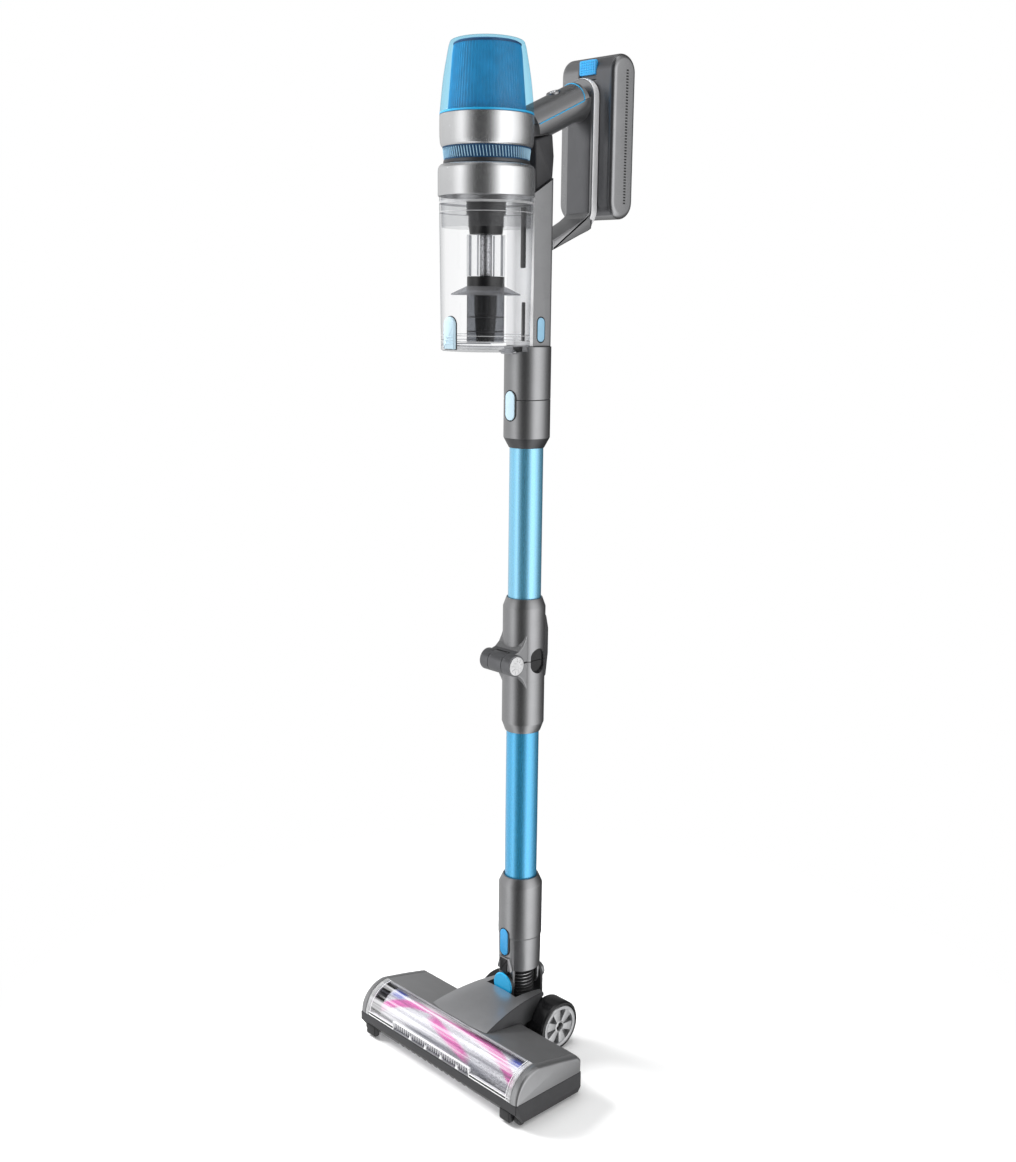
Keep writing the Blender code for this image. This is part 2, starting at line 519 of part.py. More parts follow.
def build_spine():
    """Hollow spine behind the dust cup, the dark bridge over it and the cup release button."""
    corner = 0.0050
    x, low_y, high_y = SPINE_HALF, SPINE_FRONT, SPINE_REAR

    def outline(inset):
        a, b, c = x - inset, low_y + inset, high_y - inset
        return ([(-a, b), (a, b)] + arc((a - corner, c - corner), corner, 0, 90, 3)
                + arc((-a + corner, c - corner), corner, 90, 180, 3))

    spine = prism("spine", outline(0.0), NOZZLE_TOP + GAP, SPINE_TOP, "mid_grey", "Z")
    duct = prism("tool_spine_duct", outline(0.0028), NOZZLE_TOP - 0.01, SPINE_TOP - 0.004, None, "Z")
    slope = [(-0.05, bridge_seam(-0.05)), (0.05, bridge_seam(0.05)), (0.05, 0.99), (-0.05, 0.99)]
    cut(spine, duct, prism("tool_slope", slope, -0.05, 0.05, None))
    cup_room = rod("tool_spine_cup_room", CUP_RADIUS_TOP + 0.0017, 0.76, 0.99, None, (0, CUP_Y, 0), "Z", 48)
    port = block("tool_port", (-0.0105, SPINE_FRONT - 0.01, 0.8560), (0.0105, SPINE_FRONT + 0.006, 0.9060), None)
    cut(spine, cup_room, port)
    push_button("cup_button", spine, (SPINE_HALF, TUBE_Y - 0.0012, 0.7880), "X", 0.0050, 0.0122, "blue", 0.0020)

    front, rear = SPINE_FRONT + 0.003, SPINE_REAR - 0.001
    back = [(front, bridge_seam(front) + 0.0004), (rear, bridge_seam(rear) + 0.0004), (SPINE_REAR + 0.0005, 0.9560),
            (SPINE_REAR - 0.0020, 0.9770), (SPINE_FRONT + 0.003, 0.9700)]
    prism("rear_bridge", back, -0.0170, 0.0170, "black")


def build_dust_cup():
    """Clear cup with its lid, latch and pin, and the cyclone that hangs inside it."""
    spot = (0, CUP_Y, 0)
    wall = [(CUP_RADIUS_LOW - CUP_WALL, CUP_BOTTOM + 0.0064), (CUP_RADIUS_LOW, CUP_BOTTOM + 0.0064),
            (CUP_RADIUS_TOP, CUP_TOP), (CUP_RADIUS_TOP - CUP_WALL, CUP_TOP)]
    cup = turned("dust_cup", wall, "clear", spot, "Z", 28, hollow=True)
    port = block("tool_cup_port", (-0.0100, CUP_Y + 0.030, 0.8570), (0.0100, CUP_Y + 0.060, 0.9050), None)
    cut(cup, port)
    lid = [(0, CUP_BOTTOM), (CUP_RADIUS_LOW - 0.0010, CUP_BOTTOM), (CUP_RADIUS_LOW, CUP_BOTTOM + 0.0010),
           (CUP_RADIUS_LOW, CUP_BOTTOM + 0.0060), (0, CUP_BOTTOM + 0.0060)]
    lid = turned("cup_lid", lid, "clear", spot, "Z", 32)
    cut(lid, block("tool_lid_chord", (-0.06, LID_HINGE_Y + LID_HEEL, 0.75), (0.06, 0.05, 0.80), None))
    knuckle = rod("tool_lid_knuckle", 0.0026, -0.0080, 0.0080, None, (0, LID_HINGE_Y, LID_HINGE_Z), "X", 16)
    weld(lid, knuckle)
    cut(lid, rod("tool_lid_bore", 0.0013, -0.02, 0.02, None, (0, LID_HINGE_Y, LID_HINGE_Z), "X", 12))
    rod("lid_pin", 0.0010, -0.0120, 0.0120, "steel", (0, LID_HINGE_Y, LID_HINGE_Z), "X", 12)
    front = CUP_Y - CUP_RADIUS_LOW
    prism("lid_latch", stadium(0.0080, 0.7700, 0.8010, 6), front - 0.0042, front - 0.0012, "blue", "Y")
    dark = [(0, 0.9105), (0.0195, 0.9105), (0.0195, 0.8985), (0.0172, 0.8980), (0.0172, 0.8875), (0.0160, 0.8870),
            (0.0160, 0.8790), (0, 0.8790)]
    turned("cyclone_head", dark, "black", spot, "Z", 28)
    turned("mesh_stem", [(0, 0.8790 - GAP), (0.0060, 0.8790 - GAP), (0.0060, 0.8395), (0, 0.8395)], "dark_grey", spot,
           "Z", 16)
    ring("shroud_tube", 0.0172, 0.0186, 0.8395, 0.8790 - GAP, "clear", spot, "Z", 28)
    skirt = [(0, 0.8392), (0.0186, 0.8392), (0.0186, 0.8300), (0.0340, 0.8225), (0.0340, 0.8210), (0.0186, 0.8250),
             (0.0100, 0.8250), (0, 0.8300)]
    turned("umbrella_skirt", skirt, "black", spot, "Z", 28)
    ring("collector_tube", 0.0165, 0.0184, 0.7755, 0.8247, "clear", spot, "Z", 28)


def build_motor_stack():
    """Cup collar, vent ring, motor with impeller, filter and the blue cap."""
    spot = (0, CUP_Y, 0)
    base = CUP_TOP + GAP
    collar = [(0.0440, base), (0.0469, base), (0.0469, CUP_COLLAR_TOP - 0.0060), (0.0448, CUP_COLLAR_TOP - 0.0012),
              (0.0420, CUP_COLLAR_TOP), (0.0330, CUP_COLLAR_TOP), (0.0330, CUP_COLLAR_TOP - 0.0025),
              (0.0440, CUP_COLLAR_TOP - 0.0055)]
    turned("cup_collar", collar, "silver", spot, "Z", 28, hollow=True)
    fins = [(0.0335, CUP_COLLAR_TOP + GAP), (0.0412, CUP_COLLAR_TOP + GAP), (0.0412, 0.9480), (0.0425, 0.9484),
            (0.0430, FIN_TOP), (0.0335, FIN_TOP)]
    turned("vent_ring", fins, "blue", spot, "Z", 28, hollow=True)
    body = [(0.0380, FIN_TOP + GAP), (0.0432, FIN_TOP + GAP), (0.0450, 0.9640), (0.0454, 0.9750),
            (0.0453, MOTOR_COLLAR_TOP), (0.0380, MOTOR_COLLAR_TOP)]
    turned("motor_collar", body, "silver", spot, "Z", 28, hollow=True)
    turned("suction_motor", [(0, 0.9290), (0.0310, 0.9290), (0.0310, 0.9860), (0.0240, 0.9900), (0, 0.9900)],
           "copper", spot, "Z", 24)
    turned("impeller", [(0, 0.9160), (0.0290, 0.9180), (0.0250, 0.9230), (0.0100, 0.9286), (0, 0.9286)], "steel",
           spot, "Z", 24)
    shell = cap_profile(0.0) + cap_profile(0.0020)[::-1]
    turned("filter_cap", shell, "clear_blue", spot, "Z", 28, hollow=True)
    turned("hepa_filter", [(0, 0.9905), (0.0355, 0.9905), (0.0300, 1.0500), (0, 1.0500)], "dark_grey", spot, "Z", 28)


def cap_profile(inset):
    """Crown of the filter cap from its rim to its centre."""
    rows = [(0.0453, MOTOR_COLLAR_TOP + GAP), (0.0443, 0.9993), (0.0420, 1.0209), (0.0383, 1.0424), (0.0362, 1.0520),
            (0.0330, 1.0560), (0.0180, 1.0585), (0, CAP_TOP)]
    points = []
    for radius, height in rows:
        inner = max(0.0, radius - inset)
        points.append((inner, height if height == rows[0][1] else height - inset))
    return points


def build_handle():
    """Upper arm, grip leg and lower arm as one frame, its top panel, the dock plate and the power button."""
    start = (TUBE_Y - 0.0065, 0.9830)
    end = (TUBE_Y + 0.0610, 0.9830 + 0.0675 * math.tan(ARM_SLOPE))
    normal = (-math.sin(ARM_SLOPE), math.cos(ARM_SLOPE))

    def section(spot, radius, low, high, count=20):
        points = []
        for i in range(count + 1):
            angle = math.radians(low + (high - low) * i / count)
            lift = radius * math.sin(angle)
            points.append((radius * math.cos(angle), spot[0] + normal[0] * lift, spot[1] + normal[1] * lift))
        return points

    lower_half = [section(p, ARM_RADIUS, 180 - 4, 360 + 4, 14) for p in (start, end)]
    frame = loft("handle_frame", lower_half, "mid_grey")
    low_leg = 0.8905
    leg_top = end[1] + 0.0120
    leg = block("tool_leg", (-0.0172, LEG_FRONT, low_leg), (0.0172, LEG_REAR, leg_top), None, 0.0015)
    knuckle_outline = [(LEG_FRONT - 0.0150, end[1] - 0.0215), (LEG_REAR - 0.001, end[1] - 0.0300),
                       (LEG_REAR - 0.001, end[1] + 0.0100), (LEG_FRONT - 0.0005, end[1] + 0.0100),
                       (LEG_FRONT - 0.0005, end[1] - 0.0040), (LEG_FRONT - 0.0140, end[1] - 0.0100)]
    knuckle = prism("tool_knuckle", knuckle_outline, -0.0165, 0.0165, None)
    lower_arm = [(SPINE_REAR + GAP, 0.8655), (LEG_FRONT, 0.8875), (LEG_REAR - 0.001, 0.8895), (LEG_REAR - 0.001, 0.9060),
                 (LEG_FRONT + 0.001, 0.9060), (LEG_FRONT - 0.0100, 0.8970), (SPINE_REAR + GAP, 0.8755)]
    foot = prism("tool_lower_arm", lower_arm, -0.0168, 0.0168, None)
    weld(frame, leg, knuckle, foot)
    bridge_room = prism("tool_bridge_room", [(-0.08, 0.90), (SPINE_REAR + GAP, 0.90), (SPINE_REAR + GAP, 0.9420),
                                             (SPINE_REAR + 0.0010, 0.9560), (SPINE_REAR - 0.0012, 0.9778),
                                             (-0.08, 0.9625)], -0.05, 0.05, None)
    motor_room = rod("tool_arm_motor_room", 0.0466, 0.90, 1.08, None, (0, CUP_Y, 0), "Z", 32)
    cut(frame, bridge_room, motor_room)

    panel = loft("handle_panel", [section(p, ARM_RADIUS, 5.5, 174.5, 14) for p in
                                  (start, (end[0] + 0.0040, end[1] + 0.0040 * math.tan(ARM_SLOPE)))], "mid_grey")
    room_low = block("tool_panel_frame_room", (-0.05, LEG_FRONT - 0.0010, 0.9), (0.05, 0.15, 1.1), None)
    panel_cut = rod("tool_panel_motor_room", 0.0466, 0.90, 1.08, None, (0, CUP_Y, 0), "Z", 32)
    cut(panel, panel_cut, room_low)
    top_y = TUBE_Y + 0.0300
    top_z = start[1] + (top_y - start[0]) * math.tan(ARM_SLOPE) + ARM_RADIUS / math.cos(ARM_SLOPE)
    tilt = Matrix.Rotation(ARM_SLOPE, 4, "X")
    button = turned("power_button", [(0, -0.0030), (0.0070, -0.0030), (0.0070, 0.0006), (0.0060, 0.0010), (0, 0.0010)],
                    "blue", (0, top_y, top_z), "Z", 20)
    button.matrix_world = Matrix.Translation((0, top_y, top_z)) @ tilt
    well = turned("tool_power_well", [(0, -0.0055), (0.0073, -0.0055), (0.0073, 0.01), (0, 0.01)], None, steps=20)
    well.matrix_world = Matrix.Translation((0, top_y, top_z)) @ tilt
    cut(panel, well)


def build_battery():
    """Dock plate, battery case with its vents, cell pack and latch."""
    prism("dock_plate", stadium(0.0195, 0.8890, 1.0370, 8), LEG_REAR + GAP, PLATE_REAR, "silver", "Y")
    half, low, high = BATTERY_HALF, BATTERY_BOTTOM, BATTERY_TOP
    outline = []
    corner = 0.0120
    for cx, cz, start in ((half - corner, high - corner, 0), (-half + corner, high - corner, 90),
                          (-half + corner, low + corner, 180), (half - corner, low + corner, 270)):
        outline += arc((cx, cz), corner, start, start + 90, 4)
    edge = 0.0040

    def shrunk(inset, y):
        points = []
        for x, z in outline:
            scale_x = (half - inset) / half
            scale_z = ((high - low) / 2 - inset) / ((high - low) / 2)
            middle = (high + low) / 2
            points.append((x * scale_x, y, middle + (z - middle) * scale_z))
        return points

    depth = [(edge, BATTERY_FRONT), (0.0, BATTERY_FRONT + edge), (0.0, BATTERY_REAR - edge), (edge, BATTERY_REAR)]
    case = loft("battery_case", [shrunk(inset, y) for inset, y in depth], "mid_grey")
    wall = 0.0025
    hollow = block("tool_cells", (-half + wall + 0.003, BATTERY_FRONT + wall, low + wall + 0.003),
                   (half - wall - 0.003, BATTERY_REAR - wall, high - wall - 0.010), None)
    slot = block("tool_contacts", (-0.0060, BATTERY_FRONT - 0.01, 0.9300), (0.0060, BATTERY_FRONT + 0.01, 0.9360), None)
    cut(case, hollow, slot)
    block("cell_pack", (-half + wall + 0.0035, BATTERY_FRONT + wall + 0.0005, low + wall + 0.0035),
          (half - wall - 0.0035, BATTERY_REAR - wall - 0.0005, high - wall - 0.0180), "blue", 0.003)
    face = (0.0015, BATTERY_FRONT, 1.0480)
    low_y, high_y = BATTERY_FRONT - 0.0008, BATTERY_FRONT + 0.0016
    block("battery_latch", (face[0] - 0.0115, low_y, 1.0405), (face[0] + 0.0115, high_y, 1.0550), "blue", 0.0005)
    latch_room = block("tool_latch_room", (face[0] - 0.0119, low_y - 0.01, 1.0350), (face[0] + 0.0119, 0.0880, 1.0554),
                       None)
    cut(case, latch_room)


def hang_bodies():
    """Hang every moving piece from an empty on its joint's axis, nested as the joints are."""
    tree = [
        ("brush", None, (0, ROLLER_Y, ROLLER_Z), "roller_core roller_sleeve"),
        ("brush_drive", None, (0, -0.0415, 0.0255), "motor_pulley"),
        ("caster_left", None, (0, -0.1085, CASTER_RADIUS), "front_caster_left"),
        ("caster_right", None, (0, -0.1085, CASTER_RADIUS), "front_caster_right"),
        ("wheel_left", None, (0, AXLE_Y, AXLE_Z), "wheel_hub_left wheel_tyre_left"),
        ("wheel_right", None, (0, AXLE_Y, AXLE_Z), "wheel_hub_right wheel_tyre_right"),
        ("yoke", None, (0, AXLE_Y, AXLE_Z), "neck_yoke pivot_cap_front pivot_cap_rear bellows_hose"),
        ("lower_wand", "yoke", (0, TUBE_Y, ROLL_Z), "neck_collar lower_tube fold_lower fold_pin"),
        ("head_release", "lower_wand", (0, TUBE_Y - COLLAR_RADIUS, 0.1227), "collar_button"),
        ("upper_wand", "lower_wand", (0, FOLD_Y, FOLD_Z), "fold_upper upper_tube wand_coupling inlet_nozzle spine "
         "rear_bridge dust_cup lid_pin cyclone_head mesh_stem shroud_tube umbrella_skirt collector_tube cup_collar "
         "vent_ring motor_collar suction_motor handle_frame handle_panel dock_plate"),
        ("fold_release", "upper_wand", (0, TUBE_Y + FOLD_RADIUS + 0.002, 0.460), "fold_lever"),
        ("wand_release", "upper_wand", (0, TUBE_Y - COLLAR_RADIUS, COUPLING_BUTTON_Z), "coupling_button"),
        ("cup_release", "upper_wand", (SPINE_HALF, TUBE_Y - 0.0012, 0.7880), "cup_button"),
        ("lid", "upper_wand", (0, LID_HINGE_Y, LID_HINGE_Z), "cup_lid"),
        ("lid_release", "upper_wand", (0, CUP_Y - CUP_RADIUS_LOW, 0.7850), "lid_latch"),
        ("fan", "upper_wand", (0, CUP_Y, 0.9220), "impeller"),
        ("filter", "upper_wand", (0, CUP_Y, MOTOR_COLLAR_TOP), "filter_cap hepa_filter"),
        ("power_switch", "upper_wand", (0, TUBE_Y + 0.0300, 1.0190), "power_button"),
        ("battery", "upper_wand", (0, BATTERY_FRONT, 0.9800), "battery_case cell_pack"),
        ("battery_release", "battery", (0, BATTERY_FRONT, 1.0480), "battery_latch"),
    ]
    pivots = {}
    for name, parent, place, members in tree:
        pivot = bpy.data.objects.new(name + "_axis", None)
        bpy.context.scene.collection.objects.link(pivot)
        pivot.matrix_world = Matrix.Translation(place)
        pivots[name] = (pivot, place)
        if parent:
            pivot.parent = pivots[parent][0]
            pivot.matrix_parent_inverse = Matrix.Translation(pivots[parent][1]).inverted()
        for member in members.split():
            item = bpy.data.objects[member]
            item.parent = pivot
            item.matrix_parent_inverse = Matrix.Translation(place).inverted()


def main():
    clear_scene()
    build_head_shells()
    build_brush()
    build_wheels()
    build_neck()
    build_wand()
    build_spine()
    build_dust_cup()
    build_motor_stack()
    build_handle()
    build_battery()
    hang_bodies()


main()
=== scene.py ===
"""Looks of the cordless stick vacuum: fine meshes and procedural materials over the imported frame."""
import json
import math
import random
import bmesh
import bpy
from mathutils import Matrix, Vector


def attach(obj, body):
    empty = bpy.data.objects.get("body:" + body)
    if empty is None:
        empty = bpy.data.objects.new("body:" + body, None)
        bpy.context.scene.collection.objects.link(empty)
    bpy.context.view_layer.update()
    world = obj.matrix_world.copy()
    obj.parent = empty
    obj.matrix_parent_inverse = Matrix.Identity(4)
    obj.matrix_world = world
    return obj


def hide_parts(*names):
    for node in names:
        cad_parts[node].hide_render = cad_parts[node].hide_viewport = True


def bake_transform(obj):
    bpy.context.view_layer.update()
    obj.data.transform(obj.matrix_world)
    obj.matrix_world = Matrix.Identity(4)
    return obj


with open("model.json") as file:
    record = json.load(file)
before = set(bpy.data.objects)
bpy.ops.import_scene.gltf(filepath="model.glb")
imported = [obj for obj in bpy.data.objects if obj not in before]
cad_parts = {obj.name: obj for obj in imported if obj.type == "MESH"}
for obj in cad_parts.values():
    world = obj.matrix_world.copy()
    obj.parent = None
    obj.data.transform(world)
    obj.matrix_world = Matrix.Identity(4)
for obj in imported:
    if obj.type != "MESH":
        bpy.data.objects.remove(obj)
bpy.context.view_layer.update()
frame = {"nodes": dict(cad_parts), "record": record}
RECORD = frame["record"]
BODY_OF = {n: body for body, members in RECORD["behaviour"]["bodies"].items() for n in members}

# Lengths are in metres and angles in degrees.
GAP = 0.0003
TUBE_Y = 0.0065
CUP_Y = TUBE_Y - 0.0588
HEAD_HALF, HEAD_FRONT, HEAD_REAR = 0.127, -0.12, -0.0245
BASE_BOTTOM, LIP_Z, WINDOW_HALF, WINDOW_TOP = 0.003, 0.026, 0.1182, 0.0575
WINDOW_RADIUS = WINDOW_TOP - LIP_Z
COVER_BEND = (-0.055, 0.0505)
DUCT_HALF = 0.0215
COMB_TEETH, VENT_FINS, PLEATS, BATTERY_VENTS = 34, 84, 72, 46
ROLLER = (0, -0.087, 0.0262)
BRUSH_MOTOR = (0, -0.0415, 0.0255)
CASTER = (0, -0.1085, 0.0065 * math.cos(math.pi / 16))
CASTER_RADIUS = 0.00637
WHEEL_IN, WHEEL_OUT = 0.0282, 0.054
AXLE = (0, 0.0185, 0.0285 * math.cos(math.pi / 28))
ROLL_Z = 0.0715
TUBE = (0, TUBE_Y, 0)
CUP = (0, CUP_Y, 0)
FOLD = (0, TUBE_Y - 0.032, 0.4445)
TUBE_BORE, TUBE_OUT, SOCKET_BORE, SHELL_OUT, FOLD_OUT = 0.016, 0.0175, 0.0178, 0.024, 0.0226
COLLAR_BUTTON_Z, COUPLING_BUTTON_Z, CUP_BUTTON_Z = 0.1227, 0.712, 0.788
SPINE_FRONT, SPINE_REAR = TUBE_Y - 0.0122, TUBE_Y + 0.016
CUP_TOP, CUP_FLOOR, CUP_LOW_RADIUS, CUP_TOP_RADIUS = 0.9136, 0.7678, 0.0437, 0.0456
ARM_SLOPE = math.radians(24)
ARM_RADIUS = 0.018
SPINE_HOLLOW, ARM_HOLLOW = 0.0473, 0.0466
LEG_FRONT, LEG_REAR, PLATE_REAR = TUBE_Y + 0.0685, TUBE_Y + 0.0745, TUBE_Y + 0.078
CAMERA_FROM = 43.7
TURN = {"X": Matrix.Rotation(math.radians(90), 4, "Y"), "Y": Matrix.Rotation(math.radians(-90), 4, "X"),
        "Z": Matrix.Identity(4)}
# The brush's spiral stripes: their start in turns, their bend towards the ends, their width and their middle.
STRIPE_AT, STRIPE_BEND, STRIPE_POWER, STRIPE_WIDE, STRIPE_MIDDLE = 0.495, 156.0, 3.0, 0.055, 0.0035
FINE_GRAIN, BROAD_GRAIN, ROUGH_VARY, GRAIN_DEPTH = 9, 0.25, 0.05, 0.00008
SHARP, FOLD_SHARP, HUMP_SHARP = 35, 14, 28


# ---------------------------------------------------------------- materials
def grey(value):
    return (value,) * 3


BLACK_STOP, WHITE_STOP = grey(0), grey(1)


def nodes_of(name):
    mat = bpy.data.materials.new(name)
    mat.use_nodes = True
    mat.node_tree.nodes.clear()
    return mat, mat.node_tree, mat.node_tree.nodes.new("ShaderNodeOutputMaterial")


def join(tree, value, socket):
    """A node or an output is linked to the socket, and a constant is set on it."""
    if isinstance(value, bpy.types.Node):
        value = value.outputs[0]
    if isinstance(value, bpy.types.NodeSocket):
        tree.links.new(value, socket)
    else:
        socket.default_value = value


def add(tree, kind, *values, **sets):
    """A node, with its first sockets given in order, and its settings and other sockets by name."""
    node = tree.nodes.new(kind)
    for socket, value in zip(node.inputs, values):
        join(tree, value, socket)
    for key, value in sets.items():
        if hasattr(node, key):
            setattr(node, key, value)
        else:
            join(tree, value, node.inputs[key.replace("_", " ")])
    return node


def noise(tree, place, scale, detail, **sets):
    return add(tree, "ShaderNodeTexNoise", Vector=place, Scale=scale, Detail=detail, **sets).outputs["Fac"]


def ramp(tree, source, stops, interpolation="LINEAR"):
    node = tree.nodes.new("ShaderNodeValToRGB")
    node.color_ramp.interpolation = interpolation
    while len(node.color_ramp.elements) < len(stops):
        node.color_ramp.elements.new(0.5)
    for element, (at, colour) in zip(node.color_ramp.elements, stops):
        element.position = at
        element.color = (*colour, 1)
    tree.links.new(source, node.inputs["Fac"])
    return node.outputs["Color"]


def mixed(tree, factor, one, two, kind="MIX"):
    """Two colours blended by a factor."""
    node = add(tree, "ShaderNodeMix", data_type="RGBA", blend_type=kind)
    for at, value in ((0, factor), (6, one), (7, two)):
        join(tree, value, node.inputs[at])
    return node.outputs[2]


def layered(tree, share, one, two):
    """Two shaders blended by a share."""
    return add(tree, "ShaderNodeMixShader", share, one, two).outputs[0]


def shade(colour, factor):
    return tuple(max(0.0, min(1.0, c * factor)) for c in colour)


def surface(name, colour, rough=0.4, metal=0.0, grain=220.0, vary=0.06, bump=0.05, coat=0.0,
            stretch=(1, 1, 1), coat_ior=1.5):
    """Plastic, paint or metal with fine grain in its colour, roughness and relief."""
    mat, tree, out = nodes_of(name)
    place = add(tree, "ShaderNodeTexCoord").outputs["Object"]
    scaled = add(tree, "ShaderNodeMapping", Vector=place, Scale=stretch)
    fine = noise(tree, scaled, grain * FINE_GRAIN, 3.0, Roughness=0.6)
    broad = noise(tree, scaled, grain * BROAD_GRAIN, 2.0)
    low, high = max(0.02, rough - ROUGH_VARY), min(1.0, rough + ROUGH_VARY)
    shader = add(tree, "ShaderNodeBsdfPrincipled", Metallic=metal, Coat_Weight=coat, Coat_Roughness=0.12,
                 Coat_IOR=coat_ior, Base_Color=ramp(tree, broad,
                                                    [(0.3, shade(colour, 1 - vary)),
                                                     (0.7, shade(colour, 1 + vary))]),
                 Roughness=ramp(tree, fine, [(0.3, grey(low)), (0.7, grey(high))]),
                 Normal=add(tree, "ShaderNodeBump", Strength=bump, Distance=GRAIN_DEPTH, Height=fine))
    join(tree, shader, out.inputs["Surface"])
    return mat


def clear(name, tint, edge, gloss=0.03, shine=(0.9, 0.9, 0.92), deep=0.55, haze=0.0, painted_reflection_streaks=0.0):
    """Thin clear plastic: see-through face on, darker and glossier towards its edges."""
    mat, tree, out = nodes_of(name)
    place = add(tree, "ShaderNodeTexCoord").outputs["Object"]
    wear = noise(tree, place, 60.0, 4.0)
    facing = add(tree, "ShaderNodeLayerWeight", Blend=deep).outputs["Facing"]
    tinted = ramp(tree, facing, [(0.0, tint), (0.55, tint), (1.0, edge)])
    wiped = ramp(tree, wear, [(0.3, grey(gloss)), (0.75, grey(gloss * 2.2))])
    gleam = ramp(tree, facing, [(0.0, grey(0.016)), (0.55, grey(0.028)), (0.85, grey(0.14)),
                                (1.0, grey(0.55))])
    last = layered(tree, gleam, add(tree, "ShaderNodeBsdfTransparent", Color=tinted),
                   add(tree, "ShaderNodeBsdfGlossy", Color=(*shine, 1), Roughness=wiped))
    if haze:
        milk = add(tree, "ShaderNodeBsdfDiffuse", Color=(*shine, 1))
        last = layered(tree, ramp(tree, wear, [(0.3, grey(haze * 0.8)), (0.7, grey(haze * 1.2))]), last, milk)
    # Painted reflections: white and dark diffuse streaks along the length, standing in for reflections on the
    # curved clear cover.
    if painted_reflection_streaks:
        long = add(tree, "ShaderNodeMapping", Vector=place, Scale=(5.0, 190.0, 190.0))
        reflection_lines = noise(tree, long, 1.0, 3.0)
        for low, high, tone in ((0.5, 0.66, (0.95, 0.95, 0.97)), (0.46, 0.3, (0.1, 0.1, 0.12))):
            share = ramp(tree, reflection_lines, sorted([(low, BLACK_STOP), (high, grey(painted_reflection_streaks))]))
            last = layered(tree, share, last, add(tree, "ShaderNodeBsdfDiffuse", Color=(*tone, 1)))
    join(tree, last, out.inputs["Surface"])
    return mat


def plush():
    """Pale pile with two magenta chevron stripes, a short front one, and a blue spot near each end."""
    mat, tree, out = nodes_of("plush_pile")
    place = add(tree, "ShaderNodeTexCoord").outputs["Object"]
    split = add(tree, "ShaderNodeSeparateXYZ", place)
    fuzz = noise(tree, place, 900.0, 3.0)

    def calc(kind, a, b=0):
        return add(tree, "ShaderNodeMath", a, b, operation=kind).outputs[0]

    turn = calc("MULTIPLY", calc("ARCTAN2", split.outputs["Y"], split.outputs["X"]), 1 / (2 * math.pi))
    along = calc("SUBTRACT", split.outputs["Z"], STRIPE_MIDDLE)
    aside = calc("ABSOLUTE", along)
    bend = calc("MULTIPLY", calc("POWER", aside, STRIPE_POWER), STRIPE_BEND)
    ragged = calc("MULTIPLY", calc("SUBTRACT", fuzz, 0.5), 0.03)
    phase = calc("FRACT", calc("ADD", turn, calc("ADD", calc("SUBTRACT", ragged, bend), 4.0 - STRIPE_AT)))
    white, dull, pink, violet = (0.8, 0.8, 0.84), (0.36, 0.37, 0.42), (0.86, 0.22, 0.56), (0.1, 0.14, 0.62)
    half = STRIPE_WIDE / 2
    stops = [(0.0, pink), (half, pink), (half + 0.02, white), (0.16, white), (0.2, dull), (0.26, white),
             (0.5 - half - 0.02, white), (0.5 - half, pink), (0.5 + half, pink), (0.5 + half + 0.02, white),
             (0.66, white), (0.7, dull), (0.76, white), (1 - half - 0.02, white), (1 - half, pink)]
    slant = calc("ADD", calc("SUBTRACT", turn, calc("MULTIPLY", along, 1.77)), 4.0 - 0.625)
    near = calc("ABSOLUTE", calc("SUBTRACT", calc("FRACT", slant), 0.5))
    short = ramp(tree, near, [(0.0, BLACK_STOP), (0.455, BLACK_STOP), (0.475, WHITE_STOP), (1.0, WHITE_STOP)])
    middle = ramp(tree, calc("MULTIPLY", aside, 10.0), [(0.28, WHITE_STOP), (0.42, BLACK_STOP)])
    front = mixed(tree, calc("MULTIPLY", short, middle), ramp(tree, phase, stops), (*pink, 1))
    ring = ramp(tree, calc("MULTIPLY", aside, 8.0),
                [(0.66, BLACK_STOP), (0.72, WHITE_STOP), (0.8, WHITE_STOP), (0.86, BLACK_STOP)])
    spot = ramp(tree, calc("FRACT", calc("ADD", turn, 4.0)),
                [(0.44, BLACK_STOP), (0.47, WHITE_STOP), (0.54, WHITE_STOP), (0.58, BLACK_STOP)])
    dyed = mixed(tree, calc("MULTIPLY", ring, spot), front, (*violet, 1))
    tufts = ramp(tree, fuzz, [(0.3, (0.5, 0.5, 0.52)), (0.65, WHITE_STOP)])
    shader = add(tree, "ShaderNodeBsdfPrincipled", Roughness=0.95, Sheen_Weight=0.5,
                 Base_Color=mixed(tree, 0.55, dyed, tufts, "MULTIPLY"),
                 Normal=add(tree, "ShaderNodeBump", Strength=0.8, Distance=0.0008, Height=fuzz))
    join(tree, shader, out.inputs["Surface"])
    return mat


def woven():
    """Fine perforated metal mesh for the cyclone's stem."""
    mat = surface("metal_mesh", (0.5, 0.5, 0.52), 0.35, 0.85, 400, 0.05, 0.05)
    tree = mat.node_tree
    place = next(n for n in tree.nodes if n.type == "TEX_COORD").outputs["Object"]
    cells = add(tree, "ShaderNodeTexVoronoi", Vector=place, Scale=900.0).outputs["Distance"]
    shader = next(n for n in tree.nodes if n.type == "BSDF_PRINCIPLED")
    join(tree, ramp(tree, cells, [(0.3, (0.03, 0.03, 0.035)), (0.42, (0.55, 0.55, 0.57))]),
         shader.inputs["Base Color"])
    return mat


